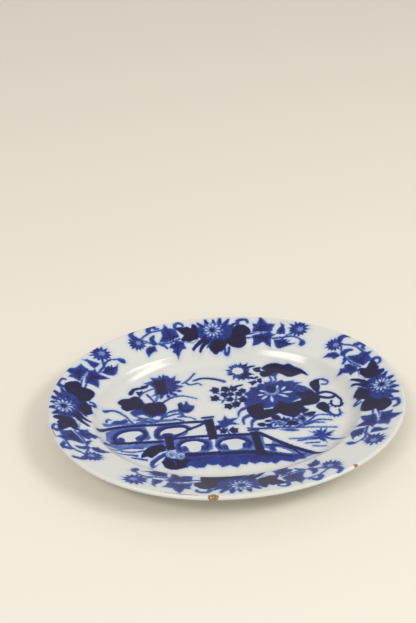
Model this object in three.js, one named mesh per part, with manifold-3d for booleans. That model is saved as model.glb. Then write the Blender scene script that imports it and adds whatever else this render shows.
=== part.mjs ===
// Oval china serving platter, built by its materials: the fired clay body, the clear glaze coat
// that covers its show side, rim and outside, and the glaze inside its foot ring.
// Millimetres, +Z up. The origin is the middle of the foot's ground face, +X along the platter.
import * as THREE from 'three';
import { mergeVertices } from 'three/addons/utils/BufferGeometryUtils.js';
import Module from 'manifold-3d';

// Overall sizes, over the glaze
const LENGTH = 432;
const WIDTH = 344;
const HEIGHT = 41;

// How full the oval is: 2 is a true ellipse, and more is squarer
const OVAL_FULLNESS = 2.06;

// Flange, from the outline in to the shoulder of the well
const FLANGE_WIDTH = 51;
const FLANGE_SLOPE = THREE.MathUtils.degToRad(20.5);
const RIM_THICKNESS = 5.4;

// Well: the curved side between flange and floor, and the flat floor
const CAVETTO_WIDTH = 23;
const FLOOR_THICKNESS = 6;

// Length of the straight pull that rounds each end of the curved side
const SHOULDER_PULL = 7;
const FLOOR_PULL = 12;

// Foot ring
const FOOT_HEIGHT = 2;
const FOOT_WIDTH = 5;
const FOOT_OUTSET = 3;
const FOOT_CHAMFER = 0.6;
const FOOT_FILLET = 1.5;

// Glaze: its thickness, the gap that keeps it clear of the clay, and the bare height of the foot
const GLAZE_THICKNESS = 0.35;
const GLAZE_GAP = 0.3;
const GLAZE_STOP = 0.9;

// Rim chips: direction from the platter's middle in degrees, radius of the broken scoop,
// how far it bites in from the outline, and how far above the lip's middle it is centred
const CHIPS = [
  { name: 'front', bearing: -102.3, radius: 8, bite: 5, lift: 2.4 },
  { name: 'right', bearing: -58, radius: 4, bite: 2.4, lift: 1.6 },
];
const CHIP_GLAZE_SETBACK = 0.5;

// Mesh fineness
const COLUMNS = 88;
const ARC_STEPS = 4;
const SCOOP_COLUMNS = 16;
const SCOOP_ROWS = 10;

// Places that follow from the sizes. A profile's radius is measured on the short axis.
const RIM_RADIUS = WIDTH / 2;
const LIP_RADIUS = RIM_THICKNESS / 2;
const LIP_CENTRE = new THREE.Vector2(RIM_RADIUS - LIP_RADIUS, HEIGHT - LIP_RADIUS);
const SHOULDER_RADIUS = RIM_RADIUS - FLANGE_WIDTH;
const FLOOR_RADIUS = SHOULDER_RADIUS - CAVETTO_WIDTH;
const FLOOR_LEVEL = FOOT_HEIGHT + FLOOR_THICKNESS;
const FOOT_OUTER = FLOOR_RADIUS + FOOT_OUTSET;
const FOOT_INNER = FOOT_OUTER - FOOT_WIDTH;
const END_STRETCH = (LENGTH - WIDTH) / 2;
const CLAY_INSET = GLAZE_THICKNESS + GLAZE_GAP;

const wasm = await Module();
wasm.setup();

// Height on a line that slopes with the flange and passes through a given point
function flangeLineHeight(through, radius) {
  return through.y - (through.x - radius) * Math.tan(FLANGE_SLOPE);
}

// Point where the flange's top (side 1) or underside (side -1) runs into the round lip
function lipTangent(side) {
  const across = new THREE.Vector2(-Math.sin(FLANGE_SLOPE), Math.cos(FLANGE_SLOPE));
  return LIP_CENTRE.clone().addScaledVector(across, side * LIP_RADIUS);
}

// Outside surface from the middle of the well, over the rim and down to the end of the glaze
// on the foot. The clay is always on the right of its direction.
function showSideProfile() {
  const top = lipTangent(1);
  const under = lipTangent(-1);
  const shoulderHeight = flangeLineHeight(top, SHOULDER_RADIUS);
  const footTop = FOOT_HEIGHT;
  const underShoulder = SHOULDER_RADIUS + FOOT_OUTSET;
  const underHeight = flangeLineHeight(under, underShoulder);
  const path = new THREE.Path();
  path.moveTo(0, FLOOR_LEVEL);
  path.lineTo(FLOOR_RADIUS, FLOOR_LEVEL);
  path.bezierCurveTo(
    FLOOR_RADIUS + FLOOR_PULL, FLOOR_LEVEL,
    SHOULDER_RADIUS - SHOULDER_PULL, shoulderHeight - SHOULDER_PULL * Math.tan(FLANGE_SLOPE),
    SHOULDER_RADIUS, shoulderHeight);
  path.lineTo(top.x, top.y);
  path.absarc(
    LIP_CENTRE.x, LIP_CENTRE.y, LIP_RADIUS,
    Math.PI / 2 + FLANGE_SLOPE, -Math.PI / 2 + FLANGE_SLOPE, true);
  path.lineTo(underShoulder, underHeight);
  path.bezierCurveTo(
    underShoulder - SHOULDER_PULL, underHeight - SHOULDER_PULL * Math.tan(FLANGE_SLOPE),
    FOOT_OUTER + FLOOR_PULL / 2, footTop,
    FOOT_OUTER, footTop);
  path.lineTo(FOOT_OUTER, GLAZE_STOP);
  return tidyPoints(path.getPoints(ARC_STEPS));
}

// Outside surface inside the foot ring, from the end of the glaze up and in to the middle
function baseProfile() {
  const path = new THREE.Path();
  path.moveTo(FOOT_INNER, GLAZE_STOP);
  path.quadraticCurveTo(FOOT_INNER, FOOT_HEIGHT, FOOT_INNER - FOOT_FILLET, FOOT_HEIGHT);
  path.lineTo(0, FOOT_HEIGHT);
  return tidyPoints(path.getPoints(ARC_STEPS));
}

// Drops points that coincide with the one before
function tidyPoints(points) {
  const nearest = 1e-6;
  return points.filter((point, i) => i === 0 || point.distanceTo(points[i - 1]) > nearest);
}

// A profile moved a distance towards the clay, each point along its mean normal, so that
// the distance between the two surfaces stays the same. The axis ends stay on the axis.
function insetProfile(points, distance) {
  return points.map((point, i) => {
    const before = points[Math.max(i - 1, 0)];
    const after = points[Math.min(i + 1, points.length - 1)];
    const in1 = point.clone().sub(before).normalize();
    const out1 = after.clone().sub(point).normalize();
    const along = in1.clone().add(out1).normalize();
    const turn = Math.max(along.dot(i === 0 ? out1 : in1), 0.5);
    const normal = new THREE.Vector2(along.y, -along.x);
    const moved = point.clone().addScaledVector(normal, distance / turn);
    return point.x === 0 ? new THREE.Vector2(0, moved.y) : moved;
  });
}

// Signed power that shapes the oval, with an exponent of 2 / OVAL_FULLNESS
function ovalPart(value) {
  return Math.sign(value) * Math.abs(value) ** (2 / OVAL_FULLNESS);
}

// Place of a profile point that is turned to an angle. Outside the foot's inner edge each ring
// keeps its distance to the outline all round. Inside, the rings shrink evenly to the middle.
function ovalPoint(radius, angle) {
  const stretch = END_STRETCH * Math.min(radius / FOOT_INNER, 1);
  return new THREE.Vector2(
    (radius + stretch) * ovalPart(Math.cos(angle)),
    radius * ovalPart(Math.sin(angle)));
}

// A profile turned about the axis and stretched to the oval, as a closed mesh
function ovalLathe(profile) {
  const geometry = new THREE.LatheGeometry(profile, COLUMNS);
  geometry.deleteAttribute('normal');
  geometry.deleteAttribute('uv');
  const position = geometry.attributes.position;
  for (let i = 0; i < position.count; i += 1) {
    const radius = Math.hypot(position.getX(i), position.getZ(i));
    const angle = Math.atan2(position.getZ(i), position.getX(i));
    const place = ovalPoint(radius, angle);
    position.setXYZ(i, place.x, place.y, position.getY(i));
  }
  return mergeVertices(geometry, 1e-4);
}

// Solid of a closed geometry, and the geometry of a solid
function toSolid(geometry) {
  const mesh = new wasm.Mesh({
    numProp: 3,
    vertProperties: new Float32Array(geometry.attributes.position.array),
    triVerts: new Uint32Array(geometry.index.array),
  });
  mesh.merge();
  return new wasm.Manifold(mesh);
}

function toGeometry(solid) {
  const mesh = solid.getMesh();
  const geometry = new THREE.BufferGeometry();
  geometry.setAttribute('position', new THREE.BufferAttribute(mesh.vertProperties, 3));
  geometry.setIndex(new THREE.BufferAttribute(mesh.triVerts, 1));
  geometry.computeVertexNormals();
  return geometry;
}

// Scoop that a chip leaves in the lip, grown by a margin
function chipScoop(chip, margin) {
  const angle = THREE.MathUtils.degToRad(chip.bearing);
  const outline = ovalPoint(RIM_RADIUS, angle);
  const outward = outline.clone().normalize();
  const centre = outline.addScaledVector(outward, chip.radius - chip.bite);
  const ball = new THREE.SphereGeometry(chip.radius + margin, SCOOP_COLUMNS, SCOOP_ROWS);
  ball.deleteAttribute('normal');
  ball.deleteAttribute('uv');
  ball.rotateX(Math.PI / 2);
  ball.translate(centre.x, centre.y, LIP_CENTRE.y + chip.lift);
  return toSolid(mergeVertices(ball, 1e-4));
}

// Takes every chip's scoop out of a closed geometry
function cutChips(geometry, margin) {
  let solid = toSolid(geometry);
  for (const chip of CHIPS) {
    solid = solid.subtract(chipScoop(chip, margin));
  }
  return toGeometry(solid);
}

// Fired clay: the whole shape under the glaze, with the bare ground face of the foot
function bodyGeometry() {
  const profile = [
    ...insetProfile(showSideProfile(), CLAY_INSET),
    new THREE.Vector2(FOOT_OUTER - CLAY_INSET, FOOT_CHAMFER),
    new THREE.Vector2(FOOT_OUTER - CLAY_INSET - FOOT_CHAMFER, 0),
    new THREE.Vector2(FOOT_INNER + CLAY_INSET + FOOT_CHAMFER, 0),
    new THREE.Vector2(FOOT_INNER + CLAY_INSET, FOOT_CHAMFER),
    ...insetProfile(baseProfile(), CLAY_INSET),
  ];
  return cutChips(ovalLathe(profile), 0);
}

// Glaze over the well, flange, lip, underside and the outside of the foot
function coatGeometry() {
  const outside = showSideProfile();
  const inside = insetProfile(outside, GLAZE_THICKNESS).reverse();
  return cutChips(ovalLathe([...outside, ...inside]), CHIP_GLAZE_SETBACK);
}

// Glaze inside the foot ring
function baseGlazeGeometry() {
  const outside = baseProfile();
  const inside = insetProfile(outside, GLAZE_THICKNESS).reverse();
  return ovalLathe([...inside, ...outside]);
}

// Bare earthenware, warm off-white and dull
function clayMaterial() {
  return new THREE.MeshStandardMaterial({ color: 0xd8c4a0, roughness: 0.85, metalness: 0 });
}

// Clear glaze with a faint blue cast over the white body
function glazeMaterial() {
  return new THREE.MeshStandardMaterial({ color: 0xe3e8ec, roughness: 0.12, metalness: 0 });
}

function addPiece(group, name, geometry, material) {
  const mesh = new THREE.Mesh(geometry, material);
  mesh.name = name;
  group.add(mesh);
}

const platter = new THREE.Group();
addPiece(platter, 'clay_body', bodyGeometry(), clayMaterial());
addPiece(platter, 'glaze_coat', coatGeometry(), glazeMaterial());
addPiece(platter, 'base_glaze', baseGlazeGeometry(), glazeMaterial());

export default platter;
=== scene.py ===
"""China serving platter: an oval printed dish with a bare ground foot, laid on a plain pale floor.

Lengths inside the classes are millimetres, and meshes are written in metres.
"""
import logging
from dataclasses import dataclass, field
from enum import Enum
from math import pi, radians, tan

import bpy
import numpy as np
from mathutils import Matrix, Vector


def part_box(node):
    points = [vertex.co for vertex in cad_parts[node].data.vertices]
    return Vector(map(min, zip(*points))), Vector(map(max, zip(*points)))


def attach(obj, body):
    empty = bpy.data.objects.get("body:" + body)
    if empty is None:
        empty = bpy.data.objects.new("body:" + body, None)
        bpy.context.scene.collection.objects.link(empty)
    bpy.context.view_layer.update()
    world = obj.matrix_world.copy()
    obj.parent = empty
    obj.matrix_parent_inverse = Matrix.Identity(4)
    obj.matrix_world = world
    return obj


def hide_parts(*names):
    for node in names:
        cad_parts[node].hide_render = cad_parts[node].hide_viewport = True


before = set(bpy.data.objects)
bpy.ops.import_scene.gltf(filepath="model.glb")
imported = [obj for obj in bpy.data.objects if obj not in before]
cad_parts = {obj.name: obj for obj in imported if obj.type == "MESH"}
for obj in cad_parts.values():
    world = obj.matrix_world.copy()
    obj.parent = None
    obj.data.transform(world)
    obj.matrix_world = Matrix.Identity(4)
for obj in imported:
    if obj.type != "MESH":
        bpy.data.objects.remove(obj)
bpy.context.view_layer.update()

LOG = logging.getLogger("platter")
MM = 0.001
FAR = -9.0
FAINT = -0.5
Array = np.ndarray
Points = list[tuple[float, float]]


class Tone(Enum):
    """The inks in the order they are laid: three depths of blue, what is left light or white, and the last
    dark lines."""

    WASH = "wash"
    BLUE = "blue"
    DARK = "dark"
    LIGHT = "light"
    PALE = "pale"
    INK = "ink"
    WEAR = "wear"


class Piece(Enum):
    """The names of the visible pieces."""

    WELL = "printed_well_glaze"
    RIM = "printed_rim_glaze"
    CLAY = "clay_body_and_bare_foot"
    BASE = "clear_base_glaze"


# ---------------------------------------------------------------- small maths


def smoothstep(low: float, high: float, value: Array) -> Array:
    """Rises from 0 at low to 1 at high along 3t^2 - 2t^3.

    Args:
        low: where the rise starts.
        high: where it ends.
        value: the numbers to shape.

    Returns:
        The shaped numbers, from 0 to 1.
    """
    t = np.clip((value - low) / (high - low), 0.0, 1.0)
    return t * t * (3.0 - 2.0 * t)


def bezier(points: Points, count: int) -> Array:
    """A Bezier arc through its end points, worked out by repeated blending of its control points.

    Args:
        points: the control points.
        count: how many points to return.

    Returns:
        count points, as (count, 2).
    """
    level = np.array(points, float)[:, None, :].repeat(count, axis=1)
    t = np.linspace(0.0, 1.0, count)[None, :, None]
    while len(level) > 1:
        level = level[:-1] * (1 - t) + level[1:] * t
    return level[0]


def rounded(points: Points, closed: bool, steps: int = 6) -> Array:
    """A Catmull-Rom curve: each stretch is the cubic that meets its two points with slopes along their
    neighbours.

    Args:
        points: the points that the curve goes through.
        closed: True joins the last to the first.
        steps: points on each stretch.

    Returns:
        The curve's points, as (n, columns of points).
    """
    p = np.array(points, float)
    ends = (p[-1:], p[:1], p[1:2]) if closed else (p[:1], p[-1:], p[:0])
    q = np.concatenate([ends[0], p, ends[1], ends[2]])
    t = np.linspace(0.0, 1.0, steps, endpoint=False)[None, :, None]
    a, b, c, d = (q[i:len(q) - 3 + i, None, :] for i in range(4))
    curve = 0.5 * (2 * b + (c - a) * t + (2 * a - 5 * b + 4 * c - d) * t**2 + (3 * b - a - 3 * c + d) * t**3)
    curve = curve.reshape(-1, p.shape[1])
    return curve if closed else np.concatenate([curve, p[-1:]])


def to_segments(x: Array, y: Array, path: Array) -> tuple[Array, Array, Array]:
    """The distance from each place to the nearest point of a path of straight segments.

    Args:
        x: places across.
        y: places along.
        path: the path's corners, as (n, 2 or more).

    Returns:
        The distance, the index of the nearest segment, and how far along that segment the nearest point is.
    """
    a, b = path[:-1, :2], path[1:, :2]
    run = b - a
    long2 = np.maximum((run**2).sum(1), 1e-12)
    along = ((x[:, None] - a[:, 0]) * run[:, 0] + (y[:, None] - a[:, 1]) * run[:, 1]) / long2
    along = np.clip(along, 0.0, 1.0)
    gap = np.hypot(x[:, None] - a[:, 0] - along * run[:, 0], y[:, None] - a[:, 1] - along * run[:, 1])
    best = gap.argmin(1)
    row = np.arange(len(x))
    return gap[row, best], best, along[row, best]


# ---------------------------------------------------------------- the form


@dataclass(frozen=True)
class PlatterForm:
    """The platter's shape: a profile (r, z) carried round an oval, r measured across the short axis."""

    half_length: float
    half_width: float
    height: float
    fullness: float = 2.06
    slope: float = radians(20.5)
    lip_radius: float = 2.7
    shoulder_r: float = 121.0
    turn_r: float = 123.0
    floor_r: float = 98.0
    floor_z: float = 8.0
    foot_outer: float = 101.0
    foot_inner: float = 96.0
    foot_height: float = 2.0
    glaze: float = 0.35
    clay_inset: float = 0.65
    sag_depth: float = 2.2
    sag_bearing: float = radians(72.0)
    sag_spread: float = radians(38.0)

    @classmethod
    def from_frame(cls) -> "PlatterForm":
        """Takes the overall sizes from the CAD coat's box."""
        low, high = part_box("glaze_coat")
        return cls((high.x - low.x) / 2 / MM, (high.y - low.y) / 2 / MM, high.z / MM)

    @property
    def stretch(self) -> float:
        """How much longer each ring is to the ends than to the sides."""
        return self.half_length - self.half_width

    @property
    def lip_centre(self) -> tuple[float, float]:
        """The centre (r, z) of the rolled lip."""
        return self.half_width - self.lip_radius, self.height - self.lip_radius

    def tangent(self, side: int) -> tuple[float, float]:
        """Where the flange's top (side 1) or underside (side -1) meets the lip."""
        r, z = self.lip_centre
        return r - side * self.lip_radius * np.sin(self.slope), z + side * self.lip_radius * np.cos(
            self.slope)

    def show_profile(self) -> Array:
        """The upper side from the middle to the lip: a flat floor, a cubic cavetto and a straight flange."""
        top = self.tangent(1)
        turn_z = top[1] - (top[0] - self.turn_r) * tan(self.slope)
        cavetto = bezier(
            [
                (self.floor_r, self.floor_z),
                (self.floor_r + 14.0, self.floor_z),
                (self.turn_r - 5.0, turn_z - 5.0 * tan(self.slope)),
                (self.turn_r, turn_z),
            ],
            60,
        )
        return np.concatenate([[(0.0, self.floor_z)], cavetto, [top]])

    def lip_profile(self, count: int) -> Array:
        """The lip: an arc from the flange's top to its underside, as (count, 2)."""
        r, z = self.lip_centre
        turn = np.linspace(pi / 2 + self.slope, -pi / 2 + self.slope, count)
        return np.stack([r + self.lip_radius * np.cos(turn), z + self.lip_radius * np.sin(turn)], axis=1)

    def under_profile(self) -> Array:
        """The underside from the lip to the foot: a straight flange, then a cubic to the foot's outer
        side."""
        low = self.tangent(-1)
        z = low[1] - (low[0] - 124.0) * tan(self.slope)
        turn = bezier([(124.0, z), (117.0, z - 7.0 * tan(self.slope)), (107.0, self.foot_height),
            (self.foot_outer, self.foot_height)], 40)
        return np.concatenate([[low], turn])

    def show_z(self, r: Array) -> Array:
        """The height of the upper side at profile radius r."""
        p = self.show_profile()
        return np.interp(r, p[:, 0], p[:, 1])

    def sag(self, r: Array, angle: Array) -> Array:
        """How far firing let the rim drop at the back: a smooth dip round one bearing that fades out at the
        shoulder."""
        turn = np.angle(np.exp(1j * (angle - self.sag_bearing)))
        dip = np.exp(-((turn / self.sag_spread) ** 2))
        return -self.sag_depth * dip * smoothstep(self.shoulder_r - 4.0, self.half_width, r)

    def ring(self, r: Array, angle: Array) -> tuple[Array, Array]:
        """The oval at profile radius r: x = a sgn(cos)|cos|^(2/n) and y = r sgn(sin)|sin|^(2/n), a = r plus
        the stretch.

        Args:
            r: profile radii.
            angle: the oval's angles, counterclockwise from the right.

        Returns:
            The places x and y.
        """
        power = 2.0 / self.fullness
        length = r + self.stretch * np.minimum(r / self.foot_inner, 1.0)
        c, s = np.cos(angle), np.sin(angle)
        return length * np.sign(c) * np.abs(c) ** power, r * np.sign(s) * np.abs(s) ** power

    def ring_of(self, x: Array, y: Array) -> tuple[Array, Array]:
        """The ring that each place lies on, found by halving, and its angle there.

        Args:
            x: places across.
            y: places along.

        Returns:
            The profile radius and the oval's angle.
        """
        low, high = np.zeros_like(x), np.full_like(x, self.half_width * 1.2)
        for _ in range(36):
            mid = (low + high) / 2
            length = mid + self.stretch * np.minimum(mid / self.foot_inner, 1.0)
            inside = (np.abs(x) / length) ** self.fullness + (np.abs(y) / mid) ** self.fullness < 1.0
            low, high = np.where(inside, low, mid), np.where(inside, mid, high)
        r = np.maximum(low, 1e-6)
        length = r + self.stretch * np.minimum(r / self.foot_inner, 1.0)
        power = self.fullness / 2.0
        s = np.sign(y) * (np.abs(y) / r) ** power
        c = np.sign(x) * (np.abs(x) / length) ** power
        return r, np.arctan2(s, c)


@dataclass(frozen=True)
class Chip:
    """A bite out of the rim: the rim's edge drawn in to the far wall of a ball."""

    bearing: float
    radius: float
    bite: float
    lift: float
    reach: float = 15.0
    grain: float = 0.22

    def apply(self, form: PlatterForm, x: Array, y: Array, z: Array, inset: Array,
              behind: Array | float = 0.0) -> tuple[Array, Array, Array]:
        """Draws points near the rim inwards; those at the lip land on the ball's wall and the rest close up
        behind.

        Args:
            form: the platter's shape.
            x: places across.
            y: places along.
            z: heights.
            inset: how far each point is from the rim, across the flange.
            behind: how far behind the wall each point lands.

        Returns:
            The moved x and y, and how far inside the broken face each point is.
        """
        edge_x, edge_y = form.ring(np.array([form.half_width]), np.array([radians(self.bearing)]))
        edge = np.array([edge_x[0], edge_y[0]])
        out = edge / np.hypot(*edge)
        centre = edge + out * (self.radius - self.bite)
        across = (x - centre[0]) * -out[1] + (y - centre[1]) * out[0]
        rise = z - (form.lip_centre[1] + self.lift)
        depth = np.sqrt(np.maximum(self.radius**2 - across**2 - rise**2, 0.0)) - (self.radius - self.bite)
        ripple = 0.35 * np.sin(across * 2.1 + z) + self.grain * np.sin(across * 5.3 - 2.0 * z)
        facing = (x * out[0] + y * out[1]) > 0
        depth = np.where(facing & (depth > 0), np.maximum(depth + ripple * smoothstep(0.3, 1.2, depth),
            0.0), 0.0)
        lip = form.lip_radius * smoothstep(0.2, 1.6, depth)
        drawn = depth + np.maximum(inset - lip, 0.0) * (self.reach - depth) / (self.reach - lip)
        drawn = drawn + 0.12 * np.minimum(inset, lip) + behind
        move = np.where((depth > 0) & (inset < self.reach), drawn - inset, 0.0)
        broken = np.minimum(depth * 2.0 + 0.6, form.lip_radius + 1.5 - inset)
        return x - out[0] * move, y - out[1] * move, np.where(depth > 0, broken, FAR)


FRONT_CHIP = Chip(bearing=-102.3, radius=6.2, bite=3.9, lift=1.8)
RIGHT_CHIP = Chip(bearing=-58.0, radius=3.2, bite=1.9, lift=1.6)


# ---------------------------------------------------------------- the printed pattern


@dataclass
class PrintField:
    """Signed distances in millimetres from every place to the edge of each ink, above 0 inside it."""

    x: Array
    y: Array
    layers: dict[Tone, Array] = field(default_factory=dict)

    def __post_init__(self) -> None:
        """Starts each ink as nowhere."""
        if not self.layers:
            self.layers = {tone: np.full(len(self.x), FAR) for tone in Tone}

    def near(self, points: Array, margin: float) -> Array:
        """The indices of the places inside a box round points, grown by margin."""
        low, high = points[:, :2].min(0) - margin, points[:, :2].max(0) + margin
        inside = (self.x > low[0]) & (self.x < high[0]) & (self.y > low[1]) & (self.y < high[1])
        return np.nonzero(inside)[0]

    def put(self, tone: Tone, where: Array, distance: Array) -> None:
        """Joins a shape to an ink: the greater of the two distances."""
        self.layers[tone][where] = np.maximum(self.layers[tone][where], np.clip(distance, FAR, 9.0))

    def leaf(self, tone: Tone, outline: Points, soft: bool = True) -> None:
        """Fills a closed outline, rounded through its points or left straight.

        Args:
            tone: the ink.
            outline: the points round it.
            soft: False keeps straight sides and sharp corners.
        """
        path = rounded(outline, closed=True) if soft else np.array(outline, float)
        path = np.concatenate([path, path[:1]])
        where = self.near(path, 8.0)
        x, y = self.x[where], self.y[where]
        gap, _, _ = to_segments(x, y, path)
        x0, y0, x1, y1 = path[:-1, 0], path[:-1, 1], path[1:, 0], path[1:, 1]
        crosses = (y0 > y[:, None]) != (y1 > y[:, None])
        rise = np.where(np.abs(y1 - y0) < 1e-9, 1e-9, y1 - y0)
        left = x[:, None] < (x1 - x0) * (y[:, None] - y0) / rise + x0
        inside = (crosses & left).sum(1) % 2 == 1
        self.put(tone, where, np.where(inside, gap, -gap))

    def stroke(self, tone: Tone, path: Points, width: float, tip: float | None = None) -> None:
        """Draws a brush stroke along a rounded path, its width running evenly from width to tip.

        Args:
            tone: the ink.
            path: the points that it goes through.
            width: its width at the first point.
            tip: its width at the last point, or None for the same.
        """
        tip = width if tip is None else tip
        line = rounded(path, closed=False)
        where = self.near(line, 8.0 + width)
        gap, index, along = to_segments(self.x[where], self.y[where], line)
        part = (index + along) / (len(line) - 1)
        self.put(tone, where, (width + (tip - width) * part) / 2 - gap)

    def disc(self, tone: Tone, centre: tuple[float, float], radius: float, lobes: int = 0, depth: float = 0.0,
             turn: float = 0.0) -> None:
        """Fills a disc whose edge swings in and out: radius (1 + depth cos(lobes (angle - turn))).

        Args:
            tone: the ink.
            centre: its middle.
            radius: its mean radius.
            lobes: how many lobes go round it.
            depth: the swing, as a part of the radius.
            turn: where the first lobe points.
        """
        c = np.array([centre], float)
        where = self.near(c, radius * 1.4 + 8.0)
        dx, dy = self.x[where] - centre[0], self.y[where] - centre[1]
        edge = radius * (1 + depth * np.cos(lobes * (np.arctan2(dy, dx) - turn)))
        self.put(tone, where, (edge - np.hypot(dx, dy)) * (0.85 if lobes else 1.0))

    def curl(self, tone: Tone, centre: tuple[float, float], radius: float, width: float, start: float,
             turns: float = 1.1) -> None:
        """Draws a spiral whose radius falls evenly to a quarter.

        Args:
            tone: the ink.
            centre: its middle.
            radius: its outer radius.
            width: the stroke's width.
            start: the angle of its outer end.
            turns: turns made, counterclockwise if above 0.
        """
        t = np.linspace(0.0, 1.0, 12)
        r, a = radius * (1 - 0.75 * t), start + 2 * pi * turns * t
        path = list(zip(centre[0] + r * np.cos(a), centre[1] + r * np.sin(a)))
        self.stroke(tone, path, width, width * 0.7)

    def petals(self, tone: Tone, centre: tuple[float, float], inner: float, outer: float, count: int,
            width: float, turn: float = 0.0, spread: float = 2 * pi) -> None:
        """Draws petals that point away from a centre.

        Args:
            tone: the ink.
            centre: the flower's middle.
            inner: where each petal starts.
            outer: where it ends.
            count: how many there are.
            width: its greatest width.
            turn: the angle of the first.
            spread: the angle that they share.
        """
        for k in range(count):
            a = turn + spread * k / count
            c, s = np.cos(a), np.sin(a)
            self.petal(tone, (centre[0] + inner * c, centre[1] + inner * s), (centre[0] + outer * c,
                centre[1] + outer * s), width)

    def petal(self, tone: Tone, base: tuple[float, float], tip: tuple[float, float], width: float) -> None:
        """Fills a petal between two points: half its width times the sine of pi t^1.3, with t from base to
        tip.

        Args:
            tone: the ink.
            base: where it starts.
            tip: where it ends.
            width: its greatest width.
        """
        run = np.array(tip, float) - np.array(base, float)
        side = np.array([-run[1], run[0]]) / max(float(np.hypot(*run)), 1e-6)
        t = np.linspace(0.0, 1.0, 9)[:, None]
        half = side * (width / 2) * np.sin(pi * t**1.3)
        line = np.array(base, float) + run * t
        self.leaf(tone, np.concatenate([line + half, (line - half)[-2:0:-1]]), soft=False)

    def star(self, tone: Tone, centre: tuple[float, float], inner: float, outer: float, count: int,
            turn: float = 0.0, uneven: float = 0.1) -> None:
        """Fills a ragged star: corners in turn at the outer and inner radius, each changed a little by a
        sine of its place.

        Args:
            tone: the ink.
            centre: its middle.
            inner: the radius of the notches.
            outer: the radius of the tips.
            count: how many tips there are.
            turn: the angle of the first tip.
            uneven: the greatest change of a radius, as a part of it.
        """
        k = np.arange(2 * count)
        r = np.where(k % 2 == 0, outer, inner) * (1 + uneven * np.sin(2.4 * k + 7 * turn))
        a = turn + pi * k / count
        self.leaf(tone, list(zip(centre[0] + r * np.cos(a), centre[1] + r * np.sin(a))), soft=False)

    def ivy(self, tone: Tone, centre: tuple[float, float], size: float, turn: float) -> None:
        """Fills a small three-lobed leaf: corners at set parts of its size, mirrored across the line to its
        tip.

        Args:
            tone: the ink.
            centre: its middle.
            size: the distance from there to its tip.
            turn: where the tip points.
        """
        half = np.array([(1.15, 0.0), (0.58, 0.42), (0.45, 1.0), (-0.10, 0.82), (-0.65, 0.62), (-0.70, 0.25)])
        shape = np.concatenate([half, half[::-1][:-1] * (1, -1)]) * size
        c, s = np.cos(turn), np.sin(turn)
        self.leaf(tone, shape @ np.array([[c, s], [-s, c]]) + np.array(centre, float), soft=False)

    def veins(self, tone: Tone, base: tuple[float, float], tip: tuple[float, float], pairs: int,
            width: float = 0.9) -> None:
        """Draws a leaf's midrib and pairs of side veins that lean towards the tip and shorten along it.

        Args:
            tone: the ink.
            base: where the midrib starts.
            tip: where it ends.
            pairs: how many pairs there are.
            width: the midrib's width.
        """
        b, t = np.array(base, float), np.array(tip, float)
        run = t - b
        side = np.array([-run[1], run[0]])
        self.stroke(tone, [tuple(b), tuple(t)], width, width * 0.5)
        for k in range(1, pairs + 1):
            part = k / (pairs + 1)
            start = b + run * (part * 0.85)
            for way in (-1, 1):
                end = start + run * 0.20 + side * way * 0.34 * (1 - 0.5 * part)
                self.stroke(tone, [tuple(start), tuple(end)], width * 0.7, width * 0.4)

    def moved(self, x: Array, y: Array) -> "PrintField":
        """The same inks on other coordinates, for a motif that has a frame of its own."""
        return PrintField(x, y, self.layers)


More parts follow.
